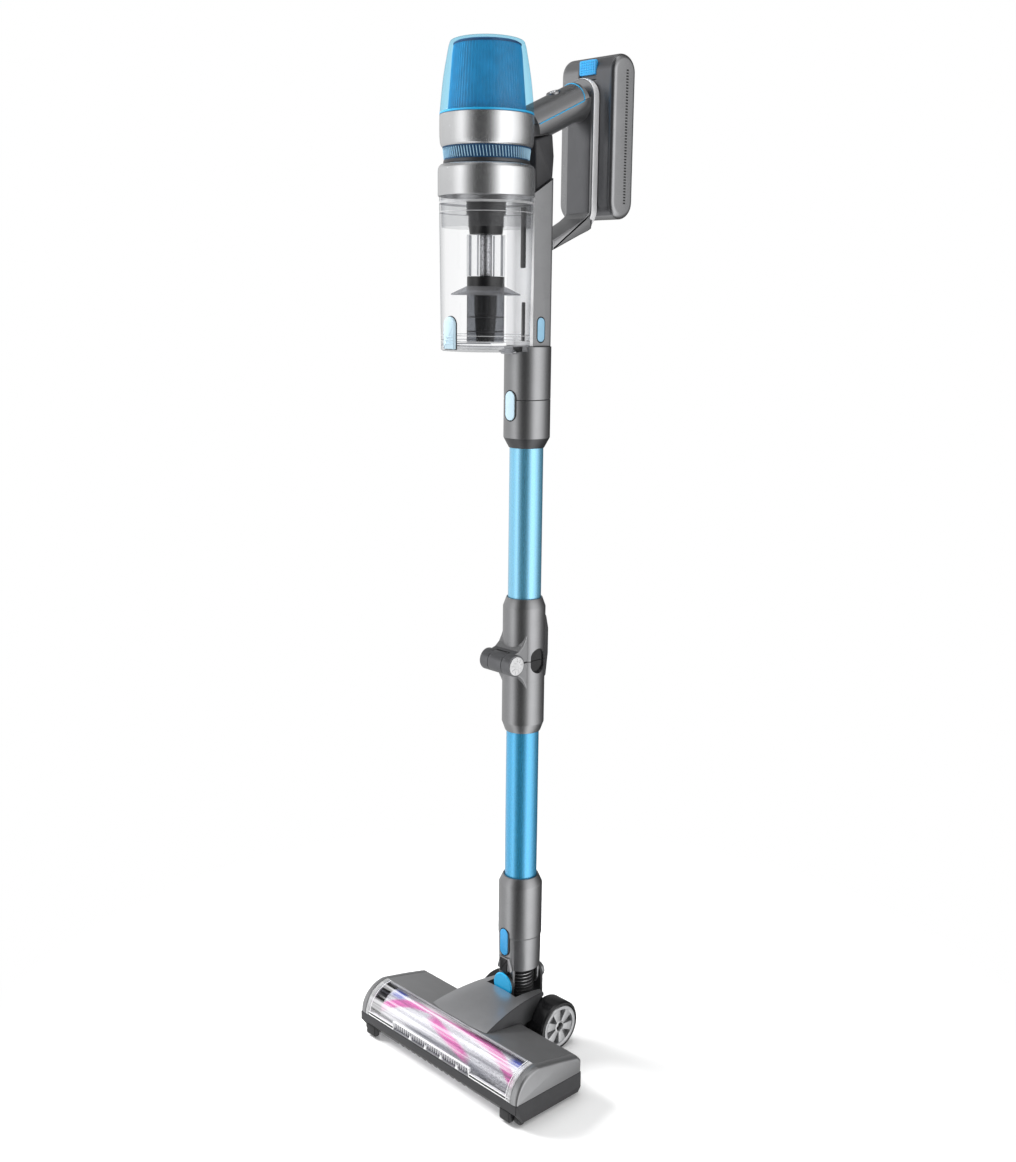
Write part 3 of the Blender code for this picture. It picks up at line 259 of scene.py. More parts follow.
# Each surface: name, colour, roughness, metal, grain, variation and relief.
GREY = surface("grey_paint", (0.33, 0.332, 0.34), 0.3, 0.9, 260, 0.03, 0.25)
# Painted shade: a dark copy of the grey paint for faces that fall in shade, the hump's flanks, the coupling's
# lower chamfer and the vent foot.
PAINTED_SHADE = surface("painted_shade_grey", (0.1, 0.101, 0.105), 0.36, 0.8, 260, 0.03, 0.25)
HUB = surface("hub_silver", (0.56, 0.565, 0.575), 0.26, 0.75, 260, 0.02, 0.15)
# Deep painted shade: a darker copy of the grey paint for the fold's hinge barrel, the handle's leg and the
# battery's front face, where shade falls.
DEEP_PAINTED_SHADE = surface("deep_painted_shade", (0.17, 0.172, 0.18), 0.32, 0.85, 260, 0.03, 0.25)
ICE = surface("ice_blue_plastic", (0.6, 0.8, 0.92), 0.24, 0.05, 300, 0.03, 0.15, coat=0.6)
HEAD = surface("head_paint", (0.36, 0.362, 0.37), 0.36, 0.8, 260, 0.03, 0.25)
TRIM = surface("bright_trim", (0.86, 0.86, 0.87), 0.3, 0.15, 260, 0.02, 0.15, coat=0.4)
# Painted light: near white for the spine's hollow behind the cup, standing in for light shining through the
# clear cup.
SEAT_PAINTED_LIGHT = surface("seat_painted_light", (0.93, 0.93, 0.935), 0.35, 0.0, 300, 0.01, 0.1)
LIGHT = surface("light_paint", (0.52, 0.525, 0.54), 0.32, 0.85, 260, 0.03, 0.25)
SILVER = surface("silver_paint", (0.7, 0.705, 0.715), 0.24, 0.92, 300, 0.02, 0.2)
STEEL = surface("turned_steel", (0.66, 0.66, 0.67), 0.24, 1.0, 500, 0.04, 0.3, stretch=(1, 1, 0.05))
DARK = surface("dark_plastic", (0.035, 0.035, 0.038), 0.38, 0.0, 380, 0.1, 0.5)
BLACK = surface("black_plastic", (0.012, 0.012, 0.013), 0.22, 0.0, 300, 0.1, 0.2)
TYRE = surface("glossy_tyre", (0.012, 0.012, 0.013), 0.24, 0.0, 300, 0.1, 0.2, coat=0.3)
RUBBER = surface("rubber", (0.02, 0.02, 0.021), 0.42, 0.0, 420, 0.12, 0.6)
ANODISED = surface("blue_anodised", (0.05, 0.45, 0.8), 0.28, 0.6, 300, 0.03, 0.25, coat=0.8,
                   stretch=(1, 1, 0.03), coat_ior=1.8)
# Painted light: a lighter, glossier copy of the blue anodising for the upper tube, which is lit more
# brightly.
ANODISED_PAINTED_LIGHT = surface("anodised_painted_light", (0.17, 0.62, 0.92), 0.28, 0.62, 300, 0.03, 0.25, coat=1.0,
                         stretch=(1, 1, 0.03), coat_ior=2.3)
BLUE = surface("blue_plastic", (0.04, 0.38, 0.78), 0.26, 0.05, 300, 0.04, 0.2, coat=0.5)
FIN = surface("pale_fin", (0.48, 0.75, 0.92), 0.3, 0.05, 300, 0.02, 0.1, coat=0.4)
PALE = surface("pale_blue_plastic", (0.36, 0.68, 0.92), 0.24, 0.05, 300, 0.04, 0.2, coat=0.6)
CYAN = surface("cyan_plastic", (0.02, 0.46, 0.85), 0.25, 0.05, 300, 0.04, 0.2, coat=0.6)
FILTER = surface("filter_media", (0.012, 0.32, 0.56), 0.75, 0.0, 500, 0.1, 0.6)
NAVY = surface("navy_gap", (0.01, 0.07, 0.17), 0.4, 0.0, 300, 0.1, 0.2)
BOARD = surface("circuit_board", (0.02, 0.2, 0.09), 0.45, 0.0, 500, 0.25, 0.4)
COPPER = surface("motor_can", (0.45, 0.28, 0.18), 0.35, 0.9, 300, 0.05, 0.2)
CLEAR = clear("clear_plastic", (0.975, 0.977, 0.98), (0.78, 0.79, 0.8))
# The window plastic carries painted reflection streaks along its length.
WINDOW = clear("window_plastic", (0.95, 0.952, 0.96), (0.66, 0.67, 0.69), 0.04, painted_reflection_streaks=0.55)
CAP_BLUE = clear("tinted_cap", (0.6, 0.86, 0.96), (0.58, 0.84, 0.94), 0.05, (0.95, 0.98, 1.0), 0.5, 0.02)
FROST = clear("frosted_top", (0.82, 0.825, 0.83), (0.72, 0.73, 0.74), 0.1, haze=0.055)
SMOKED = clear("smoked_tube", (0.4, 0.41, 0.43), (0.26, 0.26, 0.28), 0.06, haze=0.025)
SMOKE = clear("smoked_skirt", (0.66, 0.67, 0.69), (0.4, 0.41, 0.43), 0.06, haze=0.12)
PLUSH = plush()
MESH = woven()
# White plastic for the nubs, comb and mark; on the window's lip the white strips are painted highlights on
# clear plastic.
WHITE_AND_PAINTED_HIGHLIGHT = surface("white_plastic_and_painted_highlight", (0.86, 0.86, 0.87), 0.35, 0.0, 300, 0.02, 0.03)
RIM = clear("bright_rim", (0.82, 0.825, 0.84), (0.45, 0.46, 0.48), 0.05, (1.0, 1.0, 1.0), 0.6, 0.3)
GREY_LINE = clear("frosted_line", (0.6, 0.61, 0.63), (0.3, 0.31, 0.33), 0.15, (0.8, 0.8, 0.82), 0.5, 0.3)


# ---------------------------------------------------------------- mesh helpers
def add_mesh(name, bm, mat, place=(0, 0, 0), axis="Z", angle=SHARP):
    bmesh.ops.remove_doubles(bm, verts=bm.verts, dist=1e-7)
    bmesh.ops.recalc_face_normals(bm, faces=bm.faces)
    mesh = bpy.data.meshes.new(name)
    bm.to_mesh(mesh)
    bm.free()
    mesh.shade_smooth()
    mesh.set_sharp_from_angle(angle=math.radians(angle))
    item = bpy.data.objects.new(name, mesh)
    bpy.context.scene.collection.objects.link(item)
    item.matrix_world = Matrix.Translation(place) @ TURN[axis]
    mesh.materials.append(mat)
    return item


def arc(centre, radius, start, end, steps):
    angles = [math.radians(start + (end - start) * i / steps) for i in range(steps + 1)]
    return [(centre[0] + radius * math.cos(a), centre[1] + radius * math.sin(a)) for a in angles]


def stadium(half_width, low, high, steps=14, centre=0.0):
    top = arc((centre, high - half_width), half_width, 0, 180, steps)
    bottom = arc((centre, low + half_width), half_width, 180, 360, steps)
    return top + bottom


def rounded(points, radius, closed=True, steps=4, sharp=8):
    """The outline with every real corner turned into a small arc."""
    result = []
    count = len(points)
    for i, point in enumerate(points):
        if not closed and i in (0, count - 1):
            result.append(tuple(point))
            continue
        here = Vector(point)
        back, ahead = Vector(points[i - 1]) - here, Vector(points[(i + 1) % count]) - here
        if back.length < 1e-9 or ahead.length < 1e-9:
            continue
        corner = back.angle(ahead)
        if math.degrees(math.pi - corner) < sharp:
            result.append(tuple(point))
            continue
        reach = min(radius / math.tan(corner / 2), back.length * 0.45, ahead.length * 0.45)
        a, b = here + back.normalized() * reach, here + ahead.normalized() * reach
        for k in range(steps + 1):
            t = k / steps
            result.append(tuple((1 - t) ** 2 * a + 2 * t * (1 - t) * here + t * t * b))
    return result


def inset(points, distance):
    """The closed outline moved inwards by a distance."""
    area = sum(a[0] * b[1] - b[0] * a[1] for a, b in zip(points, points[1:] + points[:1]))
    sign = 1 if area > 0 else -1
    result = []
    for i, point in enumerate(points):
        here = Vector(point)
        one = (here - Vector(points[i - 1])).normalized()
        two = (Vector(points[(i + 1) % len(points)]) - here).normalized()
        normal = Vector((-(one.y + two.y), one.x + two.x)) * sign
        if normal.length < 1e-9:
            normal = Vector((-one.y, one.x)) * sign
        normal.normalize()
        share = max(0.5, normal.dot(Vector((-one.y, one.x)) * sign))
        result.append(tuple(here + normal * (distance / share)))
    return result


def oblong(inner, outer, low, high):
    """Four corners of a plain rectangle, as a profile."""
    return [(inner, low), (outer, low), (outer, high), (inner, high)]


def ringed(profile, most=0.004):
    """Long straight runs of a profile divided, so that later cuts keep their shading local."""
    result = []
    for a, b in zip(profile, profile[1:] + profile[:1]):
        parts = max(1, int(math.hypot(b[0] - a[0], b[1] - a[1]) / most))
        result += [(a[0] + (b[0] - a[0]) * k / parts, a[1] + (b[1] - a[1]) * k / parts) for k in range(parts)]
    return result


def turned(name, profile, mat, place=(0, 0, 0), axis="Z", steps=96, hollow=True, fillet=0.0005, rounds=3):
    """Turn (radius, height) points about an axis, with rounded corners; a hollow profile is closed."""
    if fillet:
        profile = rounded(profile, fillet, closed=hollow, steps=rounds)
    bm = bmesh.new()
    rings = []
    for radius, height in profile:
        if radius < 1e-6:
            rings.append([bm.verts.new((0, 0, height))])
            continue
        angles = [2 * math.pi * (i + 0.5) / steps for i in range(steps)]
        rings.append([bm.verts.new((radius * math.cos(a), radius * math.sin(a), height)) for a in angles])
    pairs = list(zip(rings, rings[1:]))
    if hollow:
        pairs.append((rings[-1], rings[0]))
    for low, high in pairs:
        if len(low) == 1 and len(high) == 1:
            continue
        for i in range(steps):
            j = (i + 1) % steps
            corners = [low[i % len(low)], low[j % len(low)], high[j % len(high)], high[i % len(high)]]
            bm.faces.new(list(dict.fromkeys(corners)))
    return add_mesh(name, bm, mat, place, axis)


def rod(name, radius, low, high, mat, place=(0, 0, 0), axis="Z", steps=48, fillet=0.0004):
    return turned(name, oblong(0, radius, low, high), mat, place, axis, steps, False,
                  fillet)


def skin(bm, rings):
    """Faces between neighbouring rings of points, and over the first and the last ring."""
    for low, high in zip(rings, rings[1:]):
        for i in range(len(low)):
            j = (i + 1) % len(low)
            bm.faces.new([low[i], low[j], high[j], high[i]])
    bm.faces.new(rings[0])
    bm.faces.new(rings[-1])


def loft(name, sections, mat):
    bm = bmesh.new()
    skin(bm, [[bm.verts.new(p) for p in section] for section in sections])
    return add_mesh(name, bm, mat)


ORDER = {"X": lambda a, b, h: (h, a, b), "Y": lambda a, b, h: (a, h, b), "Z": lambda a, b, h: (a, b, h)}


def prism(name, outline, low, high, mat, axis="X", edge=0.0006, fillet=0.0, steps=3):
    """Extrude a flat outline with rounded corners and rounded end edges."""
    if fillet:
        outline = rounded(outline, fillet)
    edge = min(edge, (high - low) * 0.45)
    levels = [(0.0, low), (0.0, high)]
    if edge:
        turns = [math.pi / 2 * i / steps for i in range(steps + 1)]
        levels = [(edge * (1 - math.sin(t)), low + edge * (1 - math.cos(t))) for t in turns]
        levels += [(edge * (1 - math.sin(t)), high - edge * (1 - math.cos(t))) for t in reversed(turns)]
    sections = [[ORDER[axis](a, b, h) for a, b in (inset(outline, d) if d > 1e-7 else outline)]
                for d, h in levels]
    return loft(name, sections, mat)


def block(name, low, high, mat, edge=0.0006, corner=0.0, axis="X"):
    a, b, h = {"X": (1, 2, 0), "Y": (0, 2, 1), "Z": (0, 1, 2)}[axis]
    outline = [(low[a], low[b]), (high[a], low[b]), (high[a], high[b]), (low[a], high[b])]
    return prism(name, outline, low[h], high[h], mat, axis, edge, max(corner, edge))


def combine(target, tools, operation):
    for tool in tools:
        step = target.modifiers.new(tool.name, "BOOLEAN")
        step.operation, step.solver, step.object = operation, "EXACT", tool
    bpy.context.view_layer.update()
    graph = bpy.context.evaluated_depsgraph_get()
    result = bpy.data.meshes.new_from_object(target.evaluated_get(graph))
    target.modifiers.clear()
    target.data = result
    for tool in tools:
        bpy.data.objects.remove(tool, do_unlink=True)
    result.set_sharp_from_angle(angle=math.radians(SHARP))


def cut(target, *tools):
    combine(target, tools, "DIFFERENCE")


def weld(target, *tools):
    combine(target, tools, "UNION")


def painted(item, *mats):
    item.data.materials.clear()
    for mat in mats:
        item.data.materials.append(mat)


def two_tone(item, one, two, chosen):
    """The second material goes on the faces that are chosen."""
    painted(item, one, two)
    for face in item.data.polygons:
        face.material_index = 1 if chosen(face) else 0


def merged(name, parts):
    """Several meshes as one object, materials kept."""
    bm = bmesh.new()
    mats = []
    for part in parts:
        mesh = part.data.copy()
        mesh.transform(part.matrix_world)
        start = len(bm.faces)
        bm.from_mesh(mesh)
        bm.faces.ensure_lookup_table()
        slots = []
        for mat in part.data.materials:
            if mat not in mats:
                mats.append(mat)
            slots.append(mats.index(mat))
        for face in bm.faces[start:]:
            face.material_index = slots[min(face.material_index, len(slots) - 1)] if slots else 0
        bpy.data.objects.remove(part, do_unlink=True)
    mesh = bpy.data.meshes.new(name)
    bm.to_mesh(mesh)
    bm.free()
    for mat in mats:
        mesh.materials.append(mat)
    mesh.set_sharp_from_angle(angle=math.radians(SHARP))
    item = bpy.data.objects.new(name, mesh)
    bpy.context.scene.collection.objects.link(item)
    return item


def mirrored(side, near, far):
    """A span to the right of the middle, or its mirror image to the left, low end first."""
    return sorted((side * near, side * far))


def join_body(item, node):
    """An extra detail that moves with a node's body."""
    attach(item, BODY_OF[node])


def adopt(item, node):
    """The piece stands for a node: it moves with the node's body, and the node's own mesh is hidden."""
    join_body(item, node)
    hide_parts(node)
    return item


def lathed(node, *shape, **more):
    adopt(turned(node + "_fine", *shape, **more), node)


def rodded(node, *shape, **more):
    adopt(rod(node + "_fine", *shape, **more), node)


def around(item, place, angle, radius=0.0):
    """Stand a piece at an angle and a radius about a vertical line."""
    spot = Matrix.Translation((radius * math.cos(angle), place[1] + radius * math.sin(angle), 0))
    item.matrix_world = spot @ Matrix.Rotation(angle, 4, "Z")


# ---------------------------------------------------------------- floor head
def head_line(drop=0.0):
    """Side outline of the head above its lip, from the front lip over the brush to the rear."""
    front = WINDOW_RADIUS - drop
    crown = arc((HEAD_FRONT + WINDOW_RADIUS, LIP_Z), front, 180, 90, 24)
    rear = [(COVER_BEND[0], COVER_BEND[1] - drop), (HEAD_REAR - 0.004 - drop, 0.044 - drop)]
    return crown + rear + [(HEAD_REAR - drop, 0.0395 - drop), (HEAD_REAR - drop, LIP_Z + GAP)]


def build_base():
    edge = [(HEAD_FRONT, LIP_Z), (HEAD_FRONT, 0.016), (HEAD_FRONT + 0.01, BASE_BOTTOM),
            (HEAD_REAR - 0.004, BASE_BOTTOM), (HEAD_REAR, 0.008), (HEAD_REAR, LIP_Z)]
    base = prism("base_shell", rounded(edge, 0.0015), -HEAD_HALF, HEAD_HALF, DARK, edge=0.0015)
    cheek = arc(AXLE[1:], 0.015, -90, 90, 24) + [(HEAD_REAR - 0.001, 0.04), (HEAD_REAR - 0.001, 0.006)]
    weld(base, prism("t1", cheek, -0.0275, 0.0275, DARK, edge=0.0008))
    cut(base, block("t2", (-0.1165, -0.114, -0.01), (0.1165, -0.06, 0.05), DARK, 0),
        block("t3", (-0.0215, -0.061, 0.0075), (0.0215, HEAD_REAR + 0.005, 0.05), DARK, 0),
        rod("t4", 0.0208, -0.0223, 0.0223, DARK, AXLE, "X", 64, 0),
        block("t5", (-0.0223, AXLE[1] - 0.045, AXLE[2]), (0.0223, 0.06, 0.06), DARK, 0),
        block("t6", (-0.0223, AXLE[1] - 0.006, -0.01), (0.0223, 0.06, 0.06), DARK, 0))
    tools = []
    for side in (-1, 1):
        near, far = mirrored(side, 0.0265, 0.1165)
        tools.append(block("t7%d" % side, (near, -0.057, 0.0085), (far, HEAD_REAR - 0.003, 0.05), DARK, 0))
        near, far = mirrored(side, 0.1175, 0.125)
        tools.append(block("t8%d" % side, (near, -0.125, -0.01), (far, -0.1, 0.0145), DARK, 0))
    cut(base, *tools)
    teeth = [block("tooth%d" % i, (-0.066 + 0.0092 * i, -0.125, -0.01),
                   (-0.0612 + 0.0092 * i, -0.11, 0.0125), DARK, 0) for i in range(13)]
    cut(base, *teeth)
    notches = [block("notch%d" % i, (x - 0.01, -0.125, -0.01), (x + 0.01, -0.1165, 0.009), DARK, 0)
               for i, x in enumerate((-0.088, 0.08))]
    cut(base, *notches)
    parts = [base]
    for side in (-1, 1):
        near, far = mirrored(side, 0.102, 0.117)
        parts.append(block("bumper%d" % side, (near, -0.1199, 0.002), (far, -0.112, 0.015), RUBBER, 0.0016,
                           0.003))
        near, far = mirrored(side, 0.124, 0.1268)
        parts.append(block("strip%d" % side, (near, -0.108, 0.0212), (far, -0.03, 0.0236), BLACK, 0.0006))
    adopt(merged("head_base_fine", parts), "head_base")


def build_window():
    """Clear quarter-round cover over the brush, with bright end rims and a flanged lip."""
    centre = (HEAD_FRONT + WINDOW_RADIUS, LIP_Z + GAP)
    bm = bmesh.new()
    rings = []
    for i in range(41):
        t = math.radians(180 - 90 * i / 40)
        y, z = centre[0] + 0.0309 * math.cos(t), centre[1] + 0.0309 * math.sin(t)
        rings.append([bm.verts.new((x, y, z)) for x in (-0.117, 0.117)])
    for low, high in zip(rings, rings[1:]):
        bm.faces.new([low[0], low[1], high[1], high[0]])
    parts = [add_mesh("window_shell", bm, WINDOW)]
    for side in (-1, 1):
        near, far = mirrored(side, 0.1125, WINDOW_HALF)
        rim = arc(centre, 0.0315, 180, 90, 40) + arc(centre, 0.0296, 90, 180, 40)
        parts.append(prism("rim", rim, near, far, RIM, edge=0.0009))
        near, far = mirrored(side, 0.115, WINDOW_HALF)
        web = arc(centre, 0.0297, 180, 90, 40) + arc(centre, 0.0225, 90, 180, 40)
        parts.append(prism("web", web, near, far, GREY, edge=0.0004))
        near, far = mirrored(side, 0.1108, 0.1115)
        line = arc(centre, 0.0313, 180, 90, 40) + arc(centre, 0.0302, 90, 180, 40)
        parts.append(prism("line", line, near, far, WHITE_AND_PAINTED_HIGHLIGHT, edge=0.0002))
    rear = [(-0.0905, 0.0571), (-0.0886, 0.0575), (-0.0886, 0.0558), (-0.0905, 0.0554)]
    parts.append(prism("rear_edge", rear, -0.1165, 0.1165, GREY_LINE, edge=0.0003))
    # The white flange, ledge, top strip and steps of the lip are painted highlights on its clear edges.
    for near, far in ((-0.118, -0.069), (0.055, 0.118)):
        parts.append(block("flange", (near, -0.1199, 0.0264), (far, -0.1162, 0.0276), WHITE_AND_PAINTED_HIGHLIGHT, 0.0005))
        parts.append(block("groove", (near, -0.1194, 0.0276), (far, -0.1168, 0.0298), BLACK, 0.0003))
        parts.append(block("ledge", (near, -0.1197, 0.0298), (far, -0.1164, 0.0307), WHITE_AND_PAINTED_HIGHLIGHT, 0.0004))
    parts.append(block("lip_mid", (-0.069, -0.1199, 0.0264), (0.055, -0.117, 0.0272), GREY_LINE, 0.0003))
    parts.append(block("lip_top", (-0.069, -0.1192, 0.0352), (0.055, -0.1166, 0.0362), WHITE_AND_PAINTED_HIGHLIGHT, 0.0004))
    for x in (-0.0693, 0.0553):
        parts.append(block("step", (x - 0.0006, -0.1197, 0.0268), (x + 0.0006, -0.1168, 0.0362), WHITE_AND_PAINTED_HIGHLIGHT,
                           0.0003))
    for i in range(COMB_TEETH):
        x = -0.0668 + 0.1196 * i / (COMB_TEETH - 1)
        parts.append(block("comb", (x - 0.00035, -0.1192, 0.029), (x + 0.00035, -0.1178, 0.035), WHITE_AND_PAINTED_HIGHLIGHT,
                           0.0002))
    for i in range(4):
        x = -0.04 + 0.0255 * i
        parts.append(prism("nub", [(x - 0.0028, 0.0268), (x + 0.0028, 0.0268), (x + 0.0005, 0.0312),
                                   (x - 0.0005, 0.0312)], -0.11995, -0.118, WHITE_AND_PAINTED_HIGHLIGHT, "Y", 0.0004))
    adopt(merged("brush_window_fine", parts), "brush_window")


def build_cover():
    top = [(HEAD_FRONT + 0.0318, WINDOW_TOP), COVER_BEND, (HEAD_REAR - 0.004, 0.044)]
    back = [(HEAD_REAR, 0.0395), (HEAD_REAR, LIP_Z + GAP), (HEAD_REAR - 0.0025, LIP_Z + GAP)]
    under = [(HEAD_REAR - 0.0025, 0.039), (HEAD_REAR - 0.006, 0.0415), (-0.055, 0.048)]
    outline = rounded(top + back + under + [(HEAD_FRONT + 0.0318, 0.055)], 0.0022)
    cover = prism("cover_shell", outline, -WINDOW_HALF, WINDOW_HALF, HEAD, edge=0.0003)
    cut(cover, block("t1", (-0.0278, HEAD_REAR - 0.008, 0.0), (0.0278, HEAD_REAR + 0.002, 0.0404), GREY, 0))
    for side in (-1, 1):
        near, far = mirrored(side, 0.03, 0.062)
        cut(cover, rod("t2", 0.0293, near, far, GREY, AXLE, "X", 64, 0))
    painted(cover, HEAD)
    adopt(cover, "head_cover").name = "head_cover_fine"
    outline = rounded(head_line() + [(HEAD_FRONT, LIP_Z + GAP)], 0.0018)
    for side, label in ((-1, "left"), (1, "right")):
        near, far = mirrored(side, WINDOW_HALF + GAP, HEAD_HALF)
        sections = []
        for t in range(9):
            turn = math.pi / 2 * t / 8
            x = side * (WINDOW_HALF + GAP + 0.0002
                        + (HEAD_HALF - WINDOW_HALF - GAP - 0.0002) * math.sin(turn))
            shrink = 0.14 * (1 - math.cos(turn)) ** 1.4
            sections.append([(x, y + (-0.07 - y) * shrink * 0.4, z + (LIP_Z + GAP - z) * shrink)
                             for y, z in outline])
        adopt(loft("side_cap_%s_fine" % label, sections, HEAD), "side_cap_" + label)


def hump_line(y):
    """Half width of the hump's top and its height, at one place along the head."""
    share = (y + 0.088) / 0.104
    half = 0.044 - 0.015 * share
    top = 0.0582 + 0.0098 * math.sin(math.pi * min(1.0, share * 0.8)) ** 0.8 if share > 0 else 0.0582
    return half, top


def build_hump():
    """Broad hump over the air duct, with a crisp edge and hollow flanks."""
    sections = []
    for k in range(27):
        y = -0.088 + 0.1038 * k / 26
        half, top = hump_line(y)
        low = 0.04
        points = []
        for i in range(33):
            t = 1 - 2 * i / 32
            points.append((t * half, y, top - 0.003 * abs(t) ** 2.5))
        flank = [(half + 0.0006, top - 0.0036), (half + 0.001, top - 0.0052), (half + 0.0018, top - 0.009),
                 (half + 0.003, top - 0.014), (half + 0.0034, low)]
        left = [(-x, y, max(low, z)) for x, z in flank]
        right = [(x, y, max(low, z)) for x, z in reversed(flank)]
        sections.append(right + points + left)
    hump = loft("duct_hump_fine", sections, LIGHT)
    over = head_line(-GAP)[24:] + [(HEAD_REAR + GAP, 0.0), (HEAD_FRONT + WINDOW_RADIUS, 0.0)]
    inner = oblong(HEAD_REAR - 0.02, HEAD_REAR + 0.02, 0.0, 0.044)
    tail = arc(AXLE[1:], 0.0153, -90, 90, 24) + [(HEAD_REAR - 0.002, 0.0403), (HEAD_REAR - 0.002, 0.0)]
    cut(hump, prism("t1", over, -0.13, 0.13, LIGHT, edge=0))
    cut(hump, prism("t2", inner, -DUCT_HALF, DUCT_HALF, LIGHT, edge=0))
    cut(hump, prism("t3", tail, -0.0278, 0.0278, LIGHT, edge=0))
    cut(hump, block("t4", (-0.0232, -0.0215, 0.0), (0.0232, 0.06, 0.09), LIGHT, 0, 0))
    cut(hump, rod("t5", 0.03, -0.06, -WHEEL_IN + GAP, LIGHT, AXLE, "X", 64, 0),
        rod("t6", 0.03, WHEEL_IN - GAP, 0.06, LIGHT, AXLE, "X", 64, 0))
    # The flanks facing sideways take painted shade.
    two_tone(hump, LIGHT, PAINTED_SHADE, lambda face: abs(face.normal.x) > 0.6)
    hump.data.set_sharp_from_angle(angle=math.radians(HUMP_SHARP))
    adopt(hump, "duct_hump")


def build_roller():
    core = [(0, -0.1135), (0.004, -0.1135), (0.004, -0.112), (0.0105, -0.112), (0.0105, -0.106),
            (0.0175, -0.1055), (0.0175, 0.112), (0.004, 0.1125), (0.004, 0.115), (0, 0.115)]
    lathed("roller_core", core, LIGHT, ROLLER, "X", 64, False)
    steps, rows = 220, 420
    random.seed(4)
    bm = bmesh.new()
    rings = []
    for r in range(rows + 1):
        h = -0.104 + 0.215 * r / rows
        ends = 0.0 if 0 < r < rows else 0.0012
        ring = []
        for i in range(steps):
            a = 2 * math.pi * i / steps
            bend = abs(h - STRIPE_MIDDLE) ** STRIPE_POWER * STRIPE_BEND
            helix = (a / (2 * math.pi) - STRIPE_AT - bend) % 0.5
            tuft = 0.00045 if helix < STRIPE_WIDE / 2 or helix > 0.5 - STRIPE_WIDE / 2 else 0.0
            radius = 0.02345 + tuft + random.uniform(-0.0005, 0.00028) - ends
            ring.append(bm.verts.new((radius * math.cos(a), radius * math.sin(a), h)))
        rings.append(ring)
    skin(bm, rings)
    adopt(add_mesh("roller_sleeve_fine", bm, PLUSH, ROLLER, "X", 80), "roller_sleeve")
    can = [(0, -0.104), (0.0016, -0.104), (0.0016, -0.1), (0.0135, -0.0995), (0.0135, -0.05), (0, -0.05)]
    lathed("brush_motor", can, STEEL, BRUSH_MOTOR, "X", 64, False)
    pulley = oblong(0.002, 0.0058, -0.1115, -0.1045)
    lathed("motor_pulley", pulley, BLACK, BRUSH_MOTOR, "X", 48)
    for side, label in ((-1, "left"), (1, "right")):
        near, far = mirrored(side, 0.118, 0.1245)
        rodded("front_caster_" + label, CASTER_RADIUS, near, far, RUBBER, CASTER, "X", 48, 0.0008)


def build_wheels():
    rodded("wheel_axle", 0.002, -0.05, 0.05, STEEL, AXLE, "X", 32)
    for side, label in ((-1, "left"), (1, "right")):
        face = WHEEL_OUT * side

        def at(depth):
            return face - depth * side

        rim = [(0.0195, at(0.0045)), (0.0195, at(0.0006)), (0.0203, at(0)), (0.0235, at(0)),
               (0.025, at(0.003)), (0.023, WHEEL_IN * side), (0.0195, WHEEL_IN * side)]
        dish = [(0.0023, at(0.0062)), (0.02, at(0.0048)), (0.02, at(0.0085)), (0.0023, at(0.0085))]
        boss = [(0.0046, at(0.0085)), (0.0046, at(0.0012)), (0.0054, at(0.0004)), (0.0068, at(0.0012)),
                (0.0074, at(0.0085))]
        parts = [turned("rim", rim, HUB, AXLE, "X", 128), turned("dish", dish, GREY, AXLE, "X", 128),
                 turned("boss", boss, HUB, AXLE, "X", 64),
                 rod("bore", 0.0046, *sorted((at(0.007), at(0.0046))), BLACK, AXLE, "X", 48)]
        for i in range(6):
            low, high = sorted((at(0.008), at(0.001)))
            spoke = prism("spoke", [(0.0055, -0.0027), (0.02, -0.0058), (0.02, 0.0058), (0.0055, 0.0027)],
                          low, high, HUB, "Z", 0.0005)
            turn = Matrix.Rotation(math.radians(60 * i + 14), 4, "Z")
            spoke.matrix_world = Matrix.Translation(AXLE) @ TURN["X"] @ turn
            parts.append(spoke)
        adopt(merged("wheel_hub_%s_fine" % label, parts), "wheel_hub_" + label)
        tread = [(0.0233, WHEEL_IN * side)]
        radius = AXLE[2]
        tread += [(radius - 0.002, WHEEL_IN * side), (radius, (WHEEL_IN + 0.0025) * side)]
        tread += [(radius, at(0.0028)), (radius - 0.0016, at(0.0008)), (0.0253, at(0.0005)),
                  (0.0253, at(0.003))]
        lathed("wheel_tyre_" + label, tread, TYRE, AXLE, "X", 128)


# ---------------------------------------------------------------- neck and wand
def pill(node, face, axis, half_width, half_height, mat):
    """Domed pill button, adopted, and the thin dark surround fixed to its housing, returned."""
    x, y, z = face
    inward = 1 if axis == "Y" else -1
    start, centre = (y, x) if axis == "Y" else (x, y)

    def outline(grow):
        return stadium(half_width + grow, z - half_height - grow, z + half_height + grow, 20, centre)

    def span(out, deep):
        return sorted((start - inward * out, start + inward * deep))

    adopt(prism(node + "_fine", outline(-0.0002), *span(0.0008, 0.003), mat, axis, 0.0007, steps=5), node)
    ring = prism(node + "_surround", outline(0.0009), *span(0.00025, 0.0026), BLACK, axis, 0.0002, steps=2)
    cut(ring, prism("t", outline(0.0001), *span(0.01, 0.01), BLACK, axis, 0))
    return ring


